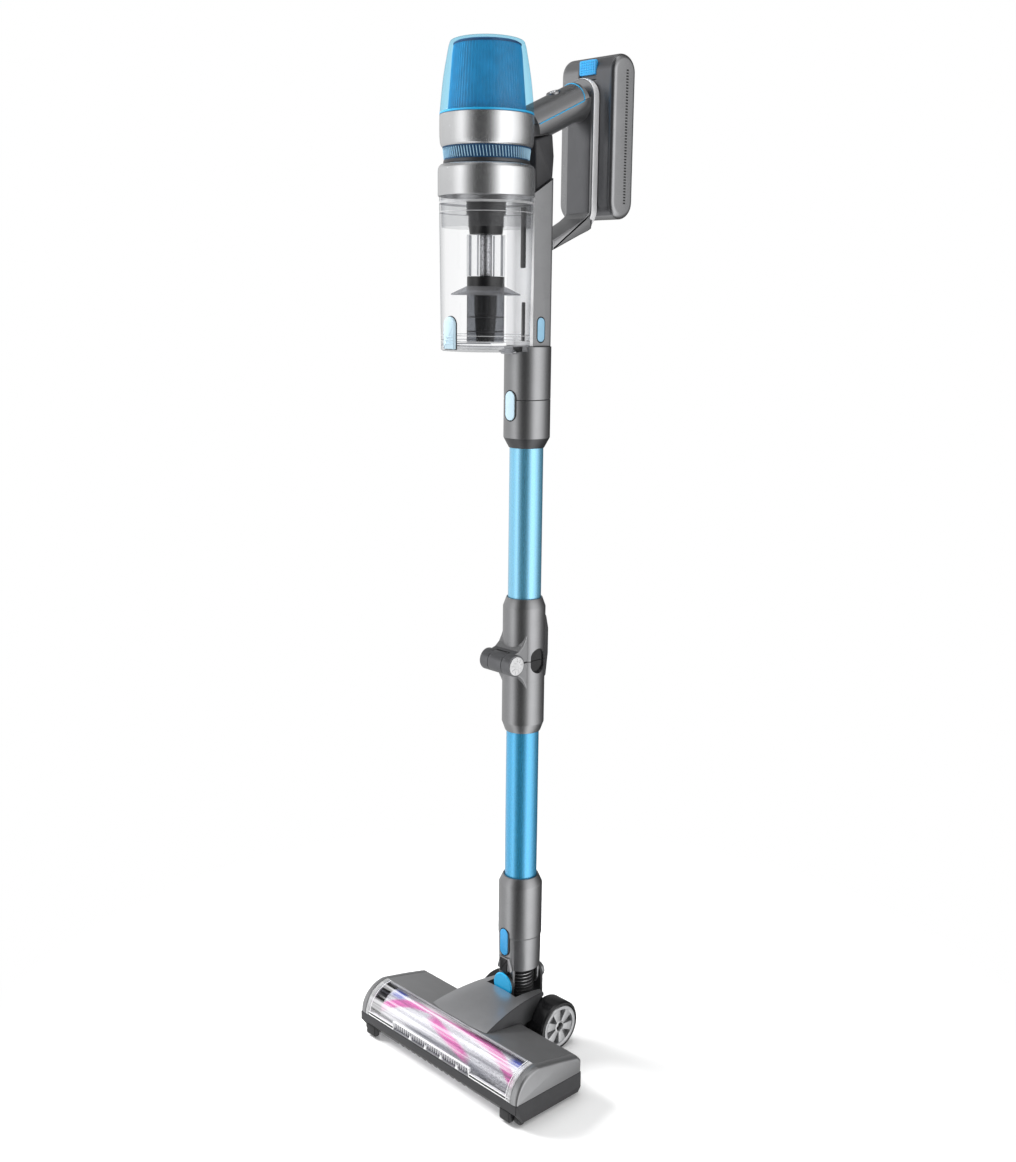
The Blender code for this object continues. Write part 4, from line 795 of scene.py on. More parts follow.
def build_neck():
    yoke = rod("yoke_shell", 0.02, -0.022, 0.022, DARK, AXLE, "X", 96, 0.001)
    weld(yoke, block("t1", (-0.0175, TUBE_Y - 0.0242, 0.0375), (0.0175, TUBE_Y + 0.0242, 0.0525), DARK,
                     0.0012))
    ear = [(0.0135 * s, 0.045) for s in (-1, 1)] + arc((0, ROLL_Z), 0.0135, 0, 180, 28)
    for sign in (-1, 1):
        low, high = sorted((TUBE_Y + sign * 0.0207, TUBE_Y + sign * 0.0242))
        weld(yoke, prism("t2", ear, low, high, DARK, "Y", 0.0005))
    cut(yoke, rod("t3", 0.014, AXLE[2], 0.06, DARK, TUBE, "Z", 64, 0),
        block("t4", (-0.013, -0.03, 0.013), (0.013, AXLE[1] - 0.004, 0.036), DARK, 0),
        rod("t5", 0.0023, -0.03, 0.03, DARK, AXLE, "X", 24, 0))
    painted(yoke, DARK)
    adopt(yoke, "neck_yoke").name = "neck_yoke_fine"
    for sign, label, depth, radius in ((-1, "front", 0.0022, 0.014), (1, "rear", 0.0085, 0.0085)):
        face = TUBE_Y + sign * (0.0242 + GAP)
        mat = CYAN if sign < 0 else GREY
        profile = [(0, sign * depth), (radius - 0.0008, sign * (depth - 0.0002)),
                   (radius, sign * (depth - 0.0012)), (radius, 0), (0.003, 0), (0.003, -sign * 0.0067),
                   (0, -sign * 0.0067)]
        lathed("pivot_cap_" + label, profile, mat, (0, face, ROLL_Z), "Y", 96, False, 0.0006)
        if sign > 0:
            band = oblong(0.0052, 0.0064, 0.008, 0.0088)
            groove = turned("rear_boss_ring", band, DARK, (0, face, ROLL_Z), "Y", 64,
                            fillet=0.0002)
            join_body(groove, "neck_yoke")
    folds, low, high = 9, 0.053, 0.089
    outer = [(0.014, low)]
    for i in range(folds):
        step = (high - low) / folds
        start = low + step * i
        outer += [(0.0142, start + step * 0.05), (0.0161, start + step * 0.3), (0.0161, start + step * 0.62),
                  (0.0142, start + step * 0.9)]
    outer += [(0.014, high), (0.014, 0.118), (0.012, 0.118), (0.012, low)]
    hose = turned("bellows_hose_fine", outer, RUBBER, TUBE, "Z", 96, True, 0.0003, 2)
    coils = []
    for i in range(folds):
        z = low + (high - low) * (i + 0.46) / folds
        coils.append(turned("coil", [(0.0159, z - 0.0004), (0.01625, z - 0.0002), (0.01625, z + 0.0002),
                                     (0.0159, z + 0.0004)], STEEL, TUBE, "Z", 96, True, 0))
    hose = merged("bellows_hose_all", [hose] + coils)
    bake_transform(hose)
    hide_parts("bellows_hose")
    wall = [(0.0172, 0.09), (0.0228, 0.09), (0.0232, 0.1272), (0.0232, 0.1276), (0.024, 0.129),
            (0.024, 0.188), (0.0195, 0.1976), (0.0178, 0.1976), (0.0178, 0.1345), (0.0172, 0.1345)]
    collar = turned("collar_shell", wall, GREY, TUBE, "Z", 128, True, 0.0008, 4)
    rib = prism("t", [(-0.01, 0.0895), (-0.01, 0.0915), (-0.0066, 0.1045), (0.0066, 0.1045), (0.01, 0.0915),
                      (0.01, 0.0895)], TUBE_Y - 0.0243, TUBE_Y - 0.0195, GREY, "Y", 0.0006)
    weld(collar, rib)
    ear = [(-0.011, 0.105), (-0.011, ROLL_Z)] + arc((0, ROLL_Z), 0.011, 180, 360, 24) + [(0.011, 0.105)]
    for sign in (-1, 1):
        low, high = sorted((TUBE_Y + sign * 0.0172, TUBE_Y + sign * 0.0204))
        weld(collar, prism("t1", ear, low, high, GREY, "Y", 0.0003))
        cut(collar, rod("t2", 0.0033, low - 0.001, high + 0.001, GREY, (0, 0, ROLL_Z), "Y", 32, 0))
    pocket = stadium(0.0072, COLLAR_BUTTON_Z - 0.0166, COLLAR_BUTTON_Z + 0.0166, 20)
    cut(collar, prism("t3", pocket, TUBE_Y - 0.028, TUBE_Y - 0.0185, GREY, "Y", 0))
    painted(collar, GREY)
    surround = pill("collar_button", (0, TUBE_Y - SHELL_OUT, COLLAR_BUTTON_Z), "Y", 0.0062, 0.0156, BLUE)
    rear = prism("front_rib", rounded([(-0.0062, 0.086), (-0.0068, 0.1035), (0.0068, 0.1035),
                                       (0.0062, 0.086)], 0.002), TUBE_Y - 0.0252, TUBE_Y - 0.0205, BLACK,
                 "Y", 0.0022, steps=5)
    adopt(merged("neck_collar_fine", [collar, surround, rear]), "neck_collar")


def build_tubes():
    for name, low, high in (("lower_tube", 0.135, 0.3763), ("upper_tube", 0.4989, 0.6806)):
        # The upper tube takes the lighter painted-light copy of the anodising; the lower tube takes the plain
        # anodising.
        finish = ANODISED_PAINTED_LIGHT if name == "upper_tube" else ANODISED
        lathed(name, oblong(TUBE_BORE, TUBE_OUT, low, high), finish, TUBE, "Z", 160, True, 0.0003)


def near_fold(spot):
    return math.hypot(spot.y - FOLD[1], spot.z - FOLD[2]) < 0.0125 and spot.y < TUBE_Y - 0.021


def build_fold():
    split, socket, bore, radius = FOLD[2], SOCKET_BORE, TUBE_BORE, FOLD_OUT
    bottom, top = 0.3643, 0.5109
    low_wall = [(socket, bottom), (0.019, bottom), (radius, bottom + 0.01), (radius, split - GAP),
                (bore, split - GAP), (bore, bottom + 0.0125), (socket, bottom + 0.0125)]
    high_wall = [(bore, split + GAP), (radius, split + GAP), (radius, top - 0.01), (0.019, top),
                 (socket, top), (socket, top - 0.0125), (bore, top - 0.0125)]
    lower = turned("fold_lower_fine", ringed(low_wall), GREY, TUBE, "Z", 128, True, 0.0006)
    upper = turned("fold_upper_fine", ringed(high_wall), GREY, TUBE, "Z", 128, True, 0.0006)
    middle = 0.01
    spans = {-1: [(-middle, middle)], 1: [(-0.022, -middle - GAP), (middle + GAP, 0.022)]}
    for half, sign in ((lower, -1), (upper, 1)):
        reach = TUBE_Y - 0.0105
        web = [(FOLD[1], split + sign * 0.0112), (FOLD[1] + 0.007, split + sign * 0.0132),
               (FOLD[1] + 0.0125, split + sign * 0.0178), (FOLD[1] + 0.016, split + sign * 0.024),
               (reach, split + sign * 0.036), (reach, split + sign * GAP), (FOLD[1], split + sign * GAP)]
        weld(half, prism("t1", web, -0.0184, 0.0184, GREY, "X", 0.0012))
        for near, far in spans[sign]:
            weld(half, rod("t2", 0.0115, near, far, GREY, FOLD, "X", 64, 0.0006))
    room = 0.0121
    cut(upper, rod("t3", room, -middle - GAP / 2, middle + GAP / 2, GREY, FOLD, "X", 64, 0))
    cut(lower, rod("t4", room, -0.03, -middle - GAP / 2, GREY, FOLD, "X", 64, 0),
        rod("t5", room, middle + GAP / 2, 0.03, GREY, FOLD, "X", 64, 0))
    rear = TUBE_Y + radius
    for half, sign in ((lower, -1), (upper, 1)):
        cut(half, rod("t6", 0.0038, -0.03, 0.03, GREY, FOLD, "X", 32, 0))
        cut(half, block("t7", (-0.0063, rear - 0.005, 0.416), (0.0063, rear + 0.02, 0.491), GREY, 0))
        ends = (split - 0.0136, split - GAP) if sign < 0 else (split + GAP, split + 0.0136)
        for way in (-1, 1):
            near, far = mirrored(way, 0.0184, 0.03)
            cut(half, prism("t9", stadium(0.0095, split - 0.0136, split + 0.0136, 20, TUBE_Y), near, far,
                            GREY, "X", 0))
        # The hinge barrel's front faces take deep painted shade.
        frame_of = half.matrix_world
        two_tone(half, GREY, DEEP_PAINTED_SHADE, lambda face: near_fold(frame_of @ face.center))
        half.data.set_sharp_from_angle(angle=math.radians(FOLD_SHARP))
        plates = []
        for way in (-1, 1):
            near, far = mirrored(way, 0.018, 0.0188)
            plate = prism("recess", stadium(0.0094, split - 0.0135, split + 0.0135, 20, TUBE_Y), near, far,
                          BLACK, "X", 0)
            rest = (ends[1], split + 0.03) if sign < 0 else (split - 0.03, ends[0])
            cut(plate, block("t10", (-0.05, -0.05, rest[0]), (0.05, 0.05, rest[1]), BLACK, 0))
            plates.append(plate)
        label = "fold_lower" if sign < 0 else "fold_upper"
        whole = adopt(merged(label + "_all", [half] + plates), label)
        whole.data.set_sharp_from_angle(angle=math.radians(FOLD_SHARP))
    for side in (-1, 1):
        disc = [(0, 0), (0.0098, 0), (0.0098, 0.0009), (0.0092, 0.0013), (0.0035, 0.0014), (0.003, 0.001),
                (0, 0.001)]
        disc = [(r, side * (0.022 + GAP * 0.3 + h)) for r, h in disc]
        part = turned("fold_pin_%s" % ("left" if side < 0 else "right"), disc, TRIM, FOLD, "X", 96, False,
                      0.0003)
        for i in range(9):
            turn = Matrix.Rotation(math.radians(40 * i), 4, "X")
            low, high = mirrored(side, 0.0227, 0.0236)
            slot = block("t", (low, -0.0003, 0.0045), (high, 0.0003, 0.0088), STEEL, 0)
            slot.matrix_world = Matrix.Translation(FOLD) @ turn
            cut(part, slot)
        painted(part, TRIM)
        if side < 0:
            join_body(part, "fold_pin")
        else:
            adopt(part, "fold_pin")
    hook = [(rear - 0.001, 0.417), (rear + 0.006, 0.419), (rear + 0.0092, 0.445), (rear + 0.0092, 0.472),
            (rear + 0.0055, 0.488), (rear - 0.001, 0.49)]
    lever = prism("fold_lever_fine", rounded(hook, 0.006), -0.006, 0.006, DARK, "X", 0.0018)
    adopt(lever, "fold_lever")


def build_coupling():
    wall = [(SOCKET_BORE, 0.6686), (0.0183, 0.6686), (SHELL_OUT, 0.6791), (SHELL_OUT, 0.718),
            (TUBE_BORE, 0.718), (TUBE_BORE, 0.6811), (SOCKET_BORE, 0.6811)]
    coupling = turned("coupling_shell", wall, GREY, TUBE, "Z", 128, True, 0.0007)
    nozzle = turned("inlet_nozzle_fine", oblong(TUBE_BORE, SHELL_OUT, 0.7183, 0.7714), GREY, TUBE, "Z", 128,
                    True, 0.0007)
    cut(nozzle, rod("t1", 0.0449, 0.7666, 0.8, GREY, CUP, "Z", 96, 0))
    pocket = stadium(0.0078, COUPLING_BUTTON_Z - 0.016, COUPLING_BUTTON_Z + 0.016, 20)
    cut(coupling, prism("t2", pocket, TUBE_Y - 0.028, TUBE_Y - 0.0185, GREY, "Y", 0))
    cut(nozzle, prism("t3", pocket, TUBE_Y - 0.028, TUBE_Y - 0.0185, GREY, "Y", 0))
    # The lower chamfer takes painted shade, darker than the paint above it.
    two_tone(coupling, GREY, PAINTED_SHADE, lambda face: face.center.z < 0.6788)
    surround = pill("coupling_button", (0, TUBE_Y - SHELL_OUT, COUPLING_BUTTON_Z), "Y", 0.0068, 0.015, ICE)
    adopt(merged("wand_coupling_fine", [coupling, surround]), "wand_coupling")
    adopt(nozzle, "inlet_nozzle")


# ---------------------------------------------------------------- spine and dust cup
def bridge_seam(y):
    return 0.9355 + 0.585 * (y - SPINE_REAR + 0.0006)


def build_spine():
    corner, x, low_y, high_y = 0.005, 0.0195, SPINE_FRONT, SPINE_REAR
    outline = ([(-x, low_y), (x, low_y)] + arc((x - corner, high_y - corner), corner, 0, 90, 12)
               + arc((-x + corner, high_y - corner), corner, 90, 180, 12))
    spine = prism("spine_shell", outline, 0.7717, 0.936, GREY, "Z", 0.0006)
    slope = [(-0.05, bridge_seam(-0.05)), (0.05, bridge_seam(0.05)), (0.05, 0.99), (-0.05, 0.99)]
    cut(spine, prism("t1", slope, -0.05, 0.05, GREY, edge=0))
    cut(spine, rod("t2", SPINE_HOLLOW, 0.76, 0.99, GREY, CUP, "Z", 96, 0))
    room = stadium(0.006, CUP_BUTTON_Z - 0.0132, CUP_BUTTON_Z + 0.0132, 20, TUBE_Y - 0.0012)
    cut(spine, prism("t3", room, 0.014, 0.023, GREY, "X", 0))
    cut(spine, block("t4", (-0.009, high_y - 0.0009, 0.79), (0.009, high_y + 0.01, 0.915), GREY, 0))
    # The hollow faces behind the cup take the near-white painted light.
    two_tone(spine, GREY, SEAT_PAINTED_LIGHT, lambda face: face.normal.y < -0.3 and face.center.y < SPINE_FRONT + 0.0025)
    surround = pill("cup_button", (x, TUBE_Y - 0.0012, CUP_BUTTON_Z), "X", 0.005, 0.0122, PALE)
    foot = prism("spine_foot", inset(outline, 0.0006), 0.7714, 0.7722, BLACK, "Z", 0)
    cut(foot, rod("t5", SPINE_HOLLOW, 0.76, 0.99, GREY, CUP, "Z", 96, 0))
    adopt(merged("spine_fine", [spine, surround, foot]), "spine")
    front, rear = SPINE_FRONT + 0.003, SPINE_REAR - 0.001
    back = [(front, bridge_seam(front) + 0.0004), (rear, bridge_seam(rear) + 0.0004),
            (SPINE_REAR + 0.0005, 0.956), (SPINE_REAR - 0.002, 0.977), (front, 0.97)]
    bridge = prism("rear_bridge_fine", rounded(back, 0.0016), -0.017, 0.017, DARK, "X", 0.0016)
    adopt(bridge, "rear_bridge")


def build_cup():
    top, low, bottom = CUP_TOP_RADIUS, CUP_LOW_RADIUS, CUP_FLOOR
    cup = turned("cup_shell", [(low, bottom + 0.0064), (top, CUP_TOP)], CLEAR, CUP, "Z", 160, False, 0)
    parts = [cup]
    for z, wide in ((0.908, 0.0011), (0.899, 0.0004), (0.7775, 0.0005), (0.783, 0.0004)):
        r = low + (top - low) * (z - 0.7742) / (CUP_TOP - 0.7742)
        band = oblong(r - 0.0004, r + 0.00015, z - wide, z + wide)
        parts.append(turned("band", band, RIM, CUP, "Z", 160, True, 0))
    parts.append(turned("frosted_top", [(0.0432, 0.885), (0.0438, 0.9134)], FROST, CUP, "Z", 160, False, 0))
    for angle, z0, z1, wide, mat in ((72, 0.848, 0.906, 0.0042, BLACK), (66, 0.777, 0.815, 0.003, DARK)):
        t = math.radians(angle)
        r = 0.0404 if z0 > 0.8 else 0.0396
        piece = block("rail", (-wide, -0.001, z0), (wide, 0.001, z1), mat, 0.0004, 0.001, "Y")
        piece.matrix_world = (Matrix.Translation((r * math.cos(t), CUP_Y + r * math.sin(t), 0))
                              @ Matrix.Rotation(t - math.pi / 2, 4, "Z"))
        parts.append(piece)
    adopt(merged("dust_cup_fine", parts), "dust_cup")
    lid = [(0, bottom), (low - 0.0012, bottom), (low, bottom + 0.0012), (low, bottom + 0.006),
           (low - 0.003, bottom + 0.006), (low - 0.0034, bottom + 0.0024), (0, bottom + 0.0024)]
    lid = turned("lid_shell", lid, CLEAR, CUP, "Z", 160, False, 0.0004)
    hinge_y, hinge_z = TUBE_Y - 0.0285, 0.7664
    cut(lid, block("t1", (-0.06, hinge_y + 0.0018, 0.75), (0.06, 0.05, 0.8), CLEAR, 0))
    painted(lid, CLEAR)
    knuckle = rod("knuckle", 0.0026, -0.008, 0.008, GREY_LINE, (0, hinge_y, hinge_z), "X", 48)
    seal = turned("seal", oblong(low - 0.003, low - 0.0001, bottom + 0.005, bottom + 0.0063), GREY_LINE, CUP,
                  "Z", 160, True, 0.0002)
    cut(seal, block("t2", (-0.06, hinge_y + 0.001, 0.75), (0.06, 0.05, 0.8), CLEAR, 0))
    adopt(merged("cup_lid_fine", [lid, knuckle, seal]), "cup_lid")
    rodded("lid_pin", 0.001, -0.012, 0.012, STEEL, (0, hinge_y, hinge_z), "X", 24)
    front = CUP_Y - low
    latch = stadium(0.008, 0.77, 0.801, 20)
    latch = [(x, z) for x, z in latch if z > 0.778] + [(-0.008, 0.7702), (0.008, 0.7702)]
    body = prism("latch_shell", rounded(latch, 0.0006), front - 0.0042, front - 0.0012, ICE, "Y", 0.001)
    frame_line = inset(latch, -0.0007)
    edge = prism("latch_edge", frame_line, front - 0.002, front - 0.001, BLACK, "Y", 0.0003)
    grips = [block("grip", (-0.0052, front - 0.0046, 0.775 + 0.0032 * i),
                   (0.0052, front - 0.004, 0.7762 + 0.0032 * i), ICE, 0.0003) for i in range(3)]
    adopt(merged("lid_latch_fine", [body, edge] + grips), "lid_latch")


def build_cyclone():
    head = [(0, 0.9105), (0.0195, 0.9105)]
    for k in range(5):
        z = 0.9085 - 0.0022 * k
        head += [(0.0195, z), (0.0187, z - 0.0004), (0.0187, z - 0.0011), (0.0195, z - 0.0015)]
    head += [(0.0195, 0.8975), (0.0176, 0.897)]
    for k in range(4):
        z = 0.8958 - 0.0024 * k
        head += [(0.0176, z), (0.0169, z - 0.0004), (0.0169, z - 0.0012), (0.0176, z - 0.0016)]
    head += [(0.0174, 0.8862), (0.0168, 0.8855), (0.016, 0.879), (0, 0.879)]
    lathed("cyclone_head", head, BLACK, CUP, "Z", 128, False, 0)
    stem = turned("mesh_stem_fine", oblong(0, 0.006, 0.8787, 0.8395), MESH, CUP,
                  "Z", 96, False)
    adopt(stem, "mesh_stem")
    shroud = turned("shroud_shell", [(0.0186, 0.8395), (0.0186, 0.8787)], CLEAR, CUP, "Z", 128, False, 0)
    ribs = []
    for i in range(8):
        t = math.radians(45 * i + 20)
        rib = block("rib", (-0.0007, -0.0007, 0.8397), (0.0007, 0.0007, 0.8785), GREY_LINE, 0.0003)
        around(rib, CUP, t, 0.0169)
        ribs.append(rib)
    adopt(merged("shroud_tube_fine", [shroud] + ribs), "shroud_tube")
    hub = [(0, 0.8392), (0.0184, 0.8392), (0.0184, 0.8302), (0.0184, 0.8256), (0.01, 0.8252), (0, 0.83)]
    hub = turned("skirt_hub", hub, BLACK, CUP, "Z", 128, False, 0.0006)
    skirt = [(0.0184, 0.83), (0.034, 0.8226), (0.034, 0.8212), (0.0184, 0.8252)]
    skirt = turned("skirt_cone", skirt, SMOKE, CUP, "Z", 160, True, 0.0004)
    adopt(merged("umbrella_skirt_fine", [hub, skirt]), "umbrella_skirt")
    outer = turned("collector_shell", [(0.0184, 0.7755), (0.0184, 0.8247)], SMOKED, CUP, "Z", 128, False, 0)
    cones = []
    for i in range(6):
        t = math.radians(60 * i + 10)
        cone = turned("cone", [(0.003, 0.7765), (0.0052, 0.805), (0.0056, 0.8235), (0.005, 0.8235),
                               (0.0046, 0.805), (0.0024, 0.7765)], BLACK,
                      (0.0062 * math.cos(t), CUP_Y + 0.0062 * math.sin(t), 0), "Z", 32, True, 0)
        cones.append(cone)
    for z in (0.786, 0.8):
        cones.append(turned("band", oblong(0.0166, 0.01845, z, z + 0.0008),
                            DARK, CUP, "Z", 128, True, 0.0002))
    adopt(merged("collector_tube_fine", [outer] + cones), "collector_tube")


def build_stack():
    base, collar_top = 0.9139, 0.9436
    collar = [(0.044, base), (0.0469, base), (0.0469, 0.9372), (0.0466, 0.9396), (0.0456, 0.9417),
              (0.044, 0.9431), (0.042, collar_top), (0.033, collar_top), (0.033, 0.9411), (0.044, 0.9381)]
    lathed("cup_collar", collar, SILVER, CUP, "Z", 192, True, 0.0007)
    core = [(0.0335, 0.9439), (0.0405, 0.9439), (0.0405, 0.9478), (0.0398, 0.9486), (0.04, 0.956),
            (0.0412, 0.9588), (0.0335, 0.9588)]
    # The vent foot below the fins is painted shade, a dark copy of the grey paint.
    parts = [turned("vent_core", core, NAVY, CUP, "Z", 160, True, 0.0004),
             turned("vent_foot", [(0.0385, 0.9439), (0.0418, 0.9439), (0.0414, 0.947), (0.0385, 0.9474)],
                    PAINTED_SHADE, CUP, "Z", 160, True, 0.0005), turned("vent_lip",
                                                                [(0.04, 0.958), (0.0424, 0.9581),
                                                                 (0.0426, 0.9588), (0.04, 0.9588)], NAVY,
                                                                CUP, "Z", 160, True, 0.0003)]
    for i in range(VENT_FINS):
        t = 2 * math.pi * i / VENT_FINS
        fin = prism("fin", [(0.04, 0.9484), (0.0413, 0.948), (0.0423, 0.9577), (0.0408, 0.9582)], -0.0003,
                    0.0003, FIN, "Y", 0.0002, steps=1)
        lean = Matrix.Rotation(math.radians(8), 4, "X")
        spot = Matrix.Translation((0, 0, 0.953))
        fin.matrix_world = (Matrix.Translation(CUP) @ Matrix.Rotation(t, 4, "Z") @ spot @ lean
                            @ spot.inverted())
        parts.append(fin)
    adopt(merged("vent_ring_fine", parts), "vent_ring")
    body = [(0.038, 0.9591), (0.0426, 0.9591), (0.044, 0.9606), (0.0449, 0.964), (0.0453, 0.969),
            (0.0454, 0.975), (0.0453, 0.9886), (0.038, 0.9886)]
    lathed("motor_collar", body, SILVER, CUP, "Z", 192, True, 0.0006)
    can = [(0, 0.929), (0.031, 0.929), (0.031, 0.986), (0.024, 0.99), (0, 0.99)]
    lathed("suction_motor", can, COPPER, CUP, "Z", 96, False, 0.001)
    fan = [(0, 0.916), (0.029, 0.918), (0.0285, 0.919), (0.01, 0.9286), (0, 0.9286)]
    adopt(merged("impeller_fine", [turned("fan", fan, STEEL, CUP, "Z", 96, False, 0.0005)]), "impeller")
    rows = [(0.0453, 0.9889), (0.0443, 0.9993), (0.042, 1.0209), (0.0383, 1.0424), (0.0362, 1.052),
            (0.033, 1.056), (0.018, 1.0585), (0, 1.0593)]
    outer = smooth_rows(rows)
    shell = turned("cap_shell", outer, CAP_BLUE, CUP, "Z", 192, False, 0)
    foot = turned("cap_foot", [(0.0436, 0.9889), (0.04535, 0.9889), (0.0452, 0.9908), (0.0436, 0.9908)],
                  CYAN, CUP, "Z", 192, True, 0.0003)
    adopt(merged("filter_cap_fine", [shell, foot]), "filter_cap")
    bm = bmesh.new()
    rings = []
    for z, r in ((0.9905, 0.0368), (0.993, 0.0374), (1.044, 0.0332), (1.0515, 0.032)):
        ring = []
        for i in range(PLEATS * 4):
            t = 2 * math.pi * i / (PLEATS * 4)
            fold = 0.0006 * abs(((i / 4) % 1.0) * 2 - 1)
            ring.append(bm.verts.new(((r - fold) * math.cos(t), (r - fold) * math.sin(t), z)))
        rings.append(ring)
    skin(bm, rings)
    media = add_mesh("pleats", bm, FILTER, CUP)
    lid = turned("filter_lid", [(0, 1.0513), (0.0322, 1.0513), (0.0324, 1.0528), (0.03, 1.0542),
                                (0, 1.0542)], NAVY, CUP, "Z", 96, False, 0.0005)
    adopt(merged("hepa_filter_fine", [media, lid]), "hepa_filter")


def smooth_rows(rows, per=6):
    """A soft curve through (radius, height) points."""
    result = []
    for i in range(len(rows) - 1):
        p0, p1, p2, p3 = rows[max(0, i - 1)], rows[i], rows[i + 1], rows[min(len(rows) - 1, i + 2)]
        for k in range(per):
            t = k / per
            point = []
            for a in (0, 1):
                point.append(0.5 * (2 * p1[a] + (p2[a] - p0[a]) * t
                                    + (2 * p0[a] - 5 * p1[a] + 4 * p2[a] - p3[a]) * t * t
                                    + (3 * p1[a] - p0[a] - 3 * p2[a] + p3[a]) * t ** 3))
            result.append((max(0.0, point[0]), min(1.0593, point[1])))
    return result + [rows[-1]]


# ---------------------------------------------------------------- handle and battery
def build_handle():
    radius = ARM_RADIUS
    start = (TUBE_Y - 0.0065, 0.983)
    end = (TUBE_Y + 0.061, 0.983 + 0.0675 * math.tan(ARM_SLOPE))
    normal = (-math.sin(ARM_SLOPE), math.cos(ARM_SLOPE))

    def section(spot, r, low, high, count, deep=1.0):
        points = []
        for i in range(count + 1):
            t = math.radians(low + (high - low) * i / count)
            rise = r * math.sin(t) * (deep if math.sin(t) < 0 else 1.0)
            points.append((r * math.cos(t), spot[0] + normal[0] * rise, spot[1] + normal[1] * rise))
        return points

    share = 1 + (LEG_FRONT + 0.001 - end[0]) / (end[0] - start[0])
    rows = []
    for part, deep in ((0, 1.0), (0.66, 1.0), (0.74, 1.02), (0.81, 1.07), (0.87, 1.15), (0.92, 1.27),
                       (0.96, 1.42), (1.0, 1.62)):
        spot = [a + (b - a) * share * part for a, b in zip(start, end)]
        rows.append(section(spot, radius * (1 - 0.08 * part ** 8), 176, 364, 48, deep))
    frame_half = loft("handle_frame_fine", rows, GREY)
    # The leg is drawn in deep painted shade, darker than the grey paint.
    leg = block("t1", (-0.0164, LEG_FRONT, 0.8905), (0.0164, LEG_REAR, end[1] + 0.012), DEEP_PAINTED_SHADE, 0.0016,
                0.004, "Y")
    arm = [(SPINE_REAR + GAP, 0.8655), (LEG_FRONT - 0.012, 0.8822), (LEG_FRONT, 0.8868),
           (LEG_REAR - 0.001, 0.8895), (LEG_REAR - 0.001, 0.906), (LEG_FRONT + 0.001, 0.906),
           (LEG_FRONT - 0.006, 0.899), (LEG_FRONT - 0.013, 0.8955), (SPINE_REAR + GAP, 0.8755)]
    strut = prism("t3", rounded(arm, 0.0012), -0.0168, 0.0168, GREY, "X", 0.0022)
    bridge = [(-0.08, 0.9), (SPINE_REAR + GAP, 0.9), (SPINE_REAR + GAP, 0.942), (SPINE_REAR + 0.001, 0.956),
              (SPINE_REAR - 0.0012, 0.9778), (-0.08, 0.9625)]
    cut(frame_half, prism("t4", bridge, -0.05, 0.05, GREY, edge=0))
    cut(frame_half, rod("t5", ARM_HOLLOW, 0.9, 1.08, GREY, CUP, "Z", 96, 0),
        block("t10", (-0.05, LEG_REAR, 0.9), (0.05, 0.15, 1.1), GREY, 0))
    painted(frame_half, GREY)
    adopt(merged("handle_frame_all", [frame_half, leg, strut]), "handle_frame")
    far = (end[0] + 0.004, end[1] + 0.004 * math.tan(ARM_SLOPE))
    panel = loft("handle_panel_fine", [section(p, radius, 5.5, 174.5, 48) for p in (start, far)], GREY)
    cut(panel, rod("t6", ARM_HOLLOW, 0.9, 1.08, GREY, CUP, "Z", 96, 0))
    cut(panel, block("t7", (-0.05, LEG_FRONT - 0.001, 0.9), (0.05, 0.15, 1.1), GREY, 0))
    top_y = TUBE_Y + 0.03
    top_z = start[1] + (top_y - start[0]) * math.tan(ARM_SLOPE) + radius / math.cos(ARM_SLOPE)
    tilt = Matrix.Translation((0, top_y, top_z)) @ Matrix.Rotation(ARM_SLOPE, 4, "X")
    well = rod("t8", 0.0074, -0.0055, 0.01, GREY, steps=48, fillet=0)
    well.matrix_world = tilt
    cut(panel, well)
    painted(panel, GREY)
    adopt(panel, "handle_panel")
    accent_line(start, end, radius, normal)
    rows = [(0, -0.003), (0.007, -0.003), (0.007, 0.0004), (0.0062, 0.0009), (0.0035, 0.0006), (0, 0.0005)]
    button = turned("power_button_fine", rows, GREY, steps=64, hollow=False, fillet=0.0004)
    mark = turned("t9", oblong(0.0024, 0.003, 0.0004, 0.0009), WHITE_AND_PAINTED_HIGHLIGHT,
                  steps=48, fillet=0.0001)
    button = merged("power_button_all", [button, mark])
    button.matrix_world = tilt
    adopt(button, "power_button")
    plate = prism("dock_shell", stadium(0.0195, 0.889, 1.037, 28), LEG_FRONT + 0.0006, PLATE_REAR, TRIM, "Y",
                  0.0016, steps=6)
    two_tone(plate, TRIM, GREY, lambda face: face.normal.y < -0.7)
    adopt(plate, "dock_plate").name = "dock_plate_fine"


def accent_line(start, end, radius, normal):
    """Thin blue line along the joint between the arm's two shells, round the end of the top panel."""
    edge, t0, t1, steps = 3.0, 0.02, 0.93, 24
    path = [(edge, t0 + (t1 - t0) * i / steps) for i in range(steps + 1)]
    for i in range(1, steps + 1):
        turn = math.pi * i / steps
        path.append((edge + (90 - edge) * (1 - math.cos(turn)), t1 + 0.085 * math.sin(turn)))
    path += [(180 - edge, t1 - (t1 - t0) * i / steps) for i in range(steps + 1)]
    bm = bmesh.new()
    rings = []
    for angle, t in path:
        a = math.radians(angle)
        y, z = start[0] + (end[0] - start[0]) * t, start[1] + (end[1] - start[1]) * t
        r = radius + 0.00015
        spot = Vector((r * math.cos(a), y + normal[0] * r * math.sin(a), z + normal[1] * r * math.sin(a)))
        rings.append(spot)
    tube = []
    for i, spot in enumerate(rings):
        ahead = rings[min(i + 1, len(rings) - 1)] - rings[max(i - 1, 0)]
        side = ahead.cross(Vector((spot.x, 0, 0.02))).normalized()
        up = side.cross(ahead).normalized()
        tube.append([bm.verts.new(spot + 0.00055 * (math.cos(math.pi / 4 * k) * side
                                                    + math.sin(math.pi / 4 * k) * up)) for k in range(8)])
    skin(bm, tube)
    join_body(add_mesh("accent_line", bm, CYAN), "handle_panel")


